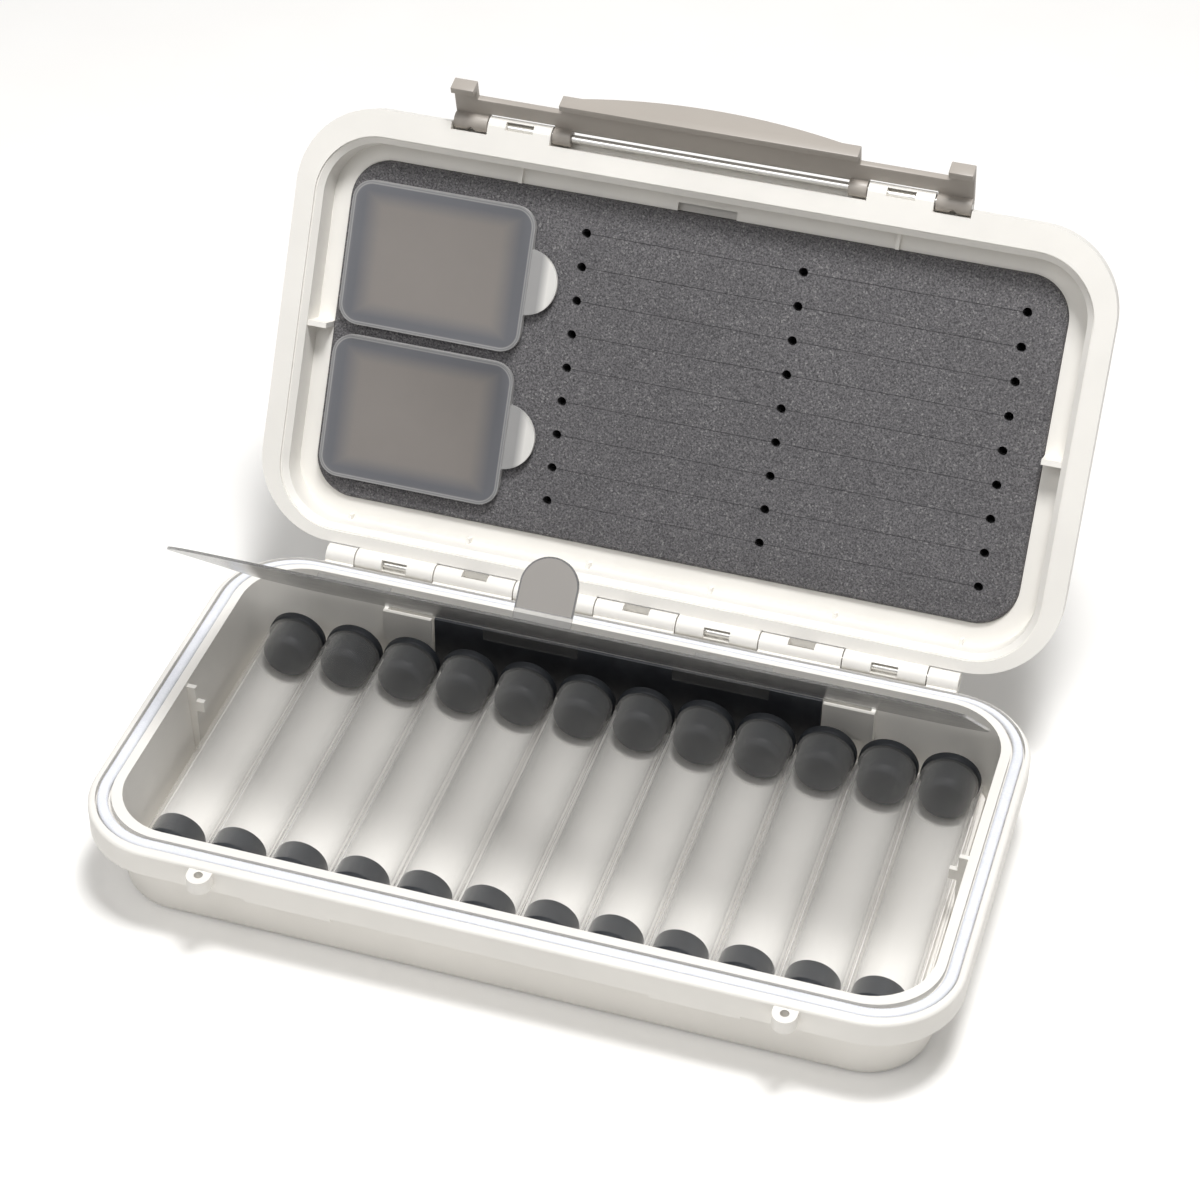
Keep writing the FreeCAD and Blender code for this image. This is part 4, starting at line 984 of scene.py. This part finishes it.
class FLYCASE_OT_latch(FlyCaseStep, Operator):
    """Softens the latch"""

    bl_idname = "flycase.latch"
    bl_label = "Latch"

    def make(self, sizes):
        piece = cad_copy("latch_bar", "latch_bar_moulded", sizes.insert_edge)
        # The case's plastic, darker as painted shade.
        hand_over(piece, "latch", "case_plastic", finishes["latch_plastic"], "latch_bar")


# Stage: lengths in metres, power in watts, the sensor in millimetres
FLOOR_SIZE = 6.0
FLOOR_GLOW = 0.12
WORLD_FILL = 0.18
SENSOR_WIDTH = 36.0
CLIP = (0.05, 20.0)

# Each lamp's name, place, aim, width and power
LAMPS = (
    ("key", (0.14, -0.04, 1.15), (0.0, 0.03, 0.0), 0.30, 12.2),
    ("front", (-0.25, -0.70, 1.0), (0.0, 0.03, 0.03), 0.5, 3.0),
)


class FLYCASE_OT_stage(Operator):
    """Sets the floor, the lights and the camera"""

    bl_idname = "flycase.stage"
    bl_label = "Stage"

    def execute(self, context):
        self.floor()
        self.world(context.scene)
        self.lamps()
        self.camera(context.scene)
        return {"FINISHED"}

    def floor(self):
        bpy.ops.object.select_all(action="DESELECT")
        bpy.ops.mesh.primitive_plane_add(size=FLOOR_SIZE)
        floor = new_piece("floor")
        finish = Finish("floor_paper")
        rays = finish.tree.nodes.new("ShaderNodeLightPath")
        seen = Link(finish.tree, rays.outputs["Is Camera Ray"])
        grain = finish.noise(scale=30.0, detail=3.0)
        tone = finish.mix(grain, srgb(244, 242, 239), srgb(248, 247, 245))
        paper = finish.add("BsdfDiffuse", values={"Color": tone})
        glow = finish.add("Emission", values={"Color": grey(1.0), "Strength": seen * FLOOR_GLOW})
        floor.data.materials.append(finish.close(finish.add("AddShader", values={0: paper, 1: glow})))

    def world(self, scene):
        world = bpy.data.worlds.new("studio")
        world.use_nodes = True
        scene.world = world
        tree = world.node_tree
        tree.nodes.clear()
        rays = tree.nodes.new("ShaderNodeLightPath")
        camera, glossy, through = (Link(tree, rays.outputs[name]) for name in
                                   ("Is Camera Ray", "Is Glossy Ray", "Is Transmission Ray"))
        seen = camera + glossy + through
        strength = (seen > 0.5) * (1.0 - WORLD_FILL) + WORLD_FILL
        background = tree.nodes.new("ShaderNodeBackground")
        plug(tree, background.inputs["Color"], grey(1.0))
        plug(tree, background.inputs["Strength"], strength)
        output = tree.nodes.new("ShaderNodeOutputWorld")
        tree.links.new(background.outputs[0], output.inputs["Surface"])

    def lamps(self):
        for name, place, aim, width, power in LAMPS:
            light = bpy.data.lights.new(name, "AREA")
            light.size = width
            light.energy = power
            lamp = bpy.data.objects.new(name, light)
            bpy.context.scene.collection.objects.link(lamp)
            lamp.location = place
            lamp.rotation_euler = (Vector(place) - Vector(aim)).to_track_quat("Z", "Y").to_euler()

    def camera(self, scene):
        view = scene.fly_view
        back = Vector((math.sin(view.azimuth) * math.cos(view.elevation),
                       -math.cos(view.azimuth) * math.cos(view.elevation), math.sin(view.elevation)))
        lens = bpy.data.cameras.new("photograph_view")
        lens.sensor_width = SENSOR_WIDTH
        lens.lens = view.lens
        lens.shift_x = view.shift_x
        lens.shift_y = view.shift_y
        lens.clip_start, lens.clip_end = CLIP
        camera = bpy.data.objects.new("photograph_view", lens)
        scene.collection.objects.link(camera)
        turn = back.to_track_quat("Z", "Y").to_matrix().to_4x4() @ Matrix.Rotation(view.roll, 4, "Z")
        camera.matrix_world = Matrix.Translation(Vector(view.target) + back * view.distance) @ turn
        scene.camera = camera


class FLYCASE_PT_panel(Panel):
    """Buttons for each piece of the case"""

    bl_idname = "FLYCASE_PT_panel"
    bl_label = "Fly case"
    bl_space_type = "VIEW_3D"
    bl_region_type = "UI"
    bl_category = "Fly case"

    def draw(self, context):
        for operator in STEPS:
            self.layout.operator(operator.bl_idname)


STEPS = (
    FLYCASE_OT_finishes,
    FLYCASE_OT_shells,
    FLYCASE_OT_seal,
    FLYCASE_OT_pins,
    FLYCASE_OT_insert,
    FLYCASE_OT_vials,
    FLYCASE_OT_cover,
    FLYCASE_OT_foam,
    FLYCASE_OT_trays,
    FLYCASE_OT_latch,
    FLYCASE_OT_stage,
)
GROUPS = (FLYCASE_PG_colours, FLYCASE_PG_sizes, FLYCASE_PG_view)


def register():
    for group in GROUPS + STEPS + (FLYCASE_PT_panel,):
        bpy.utils.register_class(group)
    bpy.types.Scene.fly_colours = PointerProperty(type=FLYCASE_PG_colours)
    bpy.types.Scene.fly_sizes = PointerProperty(type=FLYCASE_PG_sizes)
    bpy.types.Scene.fly_view = PointerProperty(type=FLYCASE_PG_view)


def unregister():
    del bpy.types.Scene.fly_view
    del bpy.types.Scene.fly_sizes
    del bpy.types.Scene.fly_colours
    for group in reversed(GROUPS + STEPS + (FLYCASE_PT_panel,)):
        bpy.utils.unregister_class(group)


def main():
    register()
    bpy.context.scene.view_settings.view_transform = "Standard"
    for operator in STEPS:
        area, name = operator.bl_idname.split(".")
        getattr(getattr(bpy.ops, area), name)()


if __name__ == "__main__":
    main()
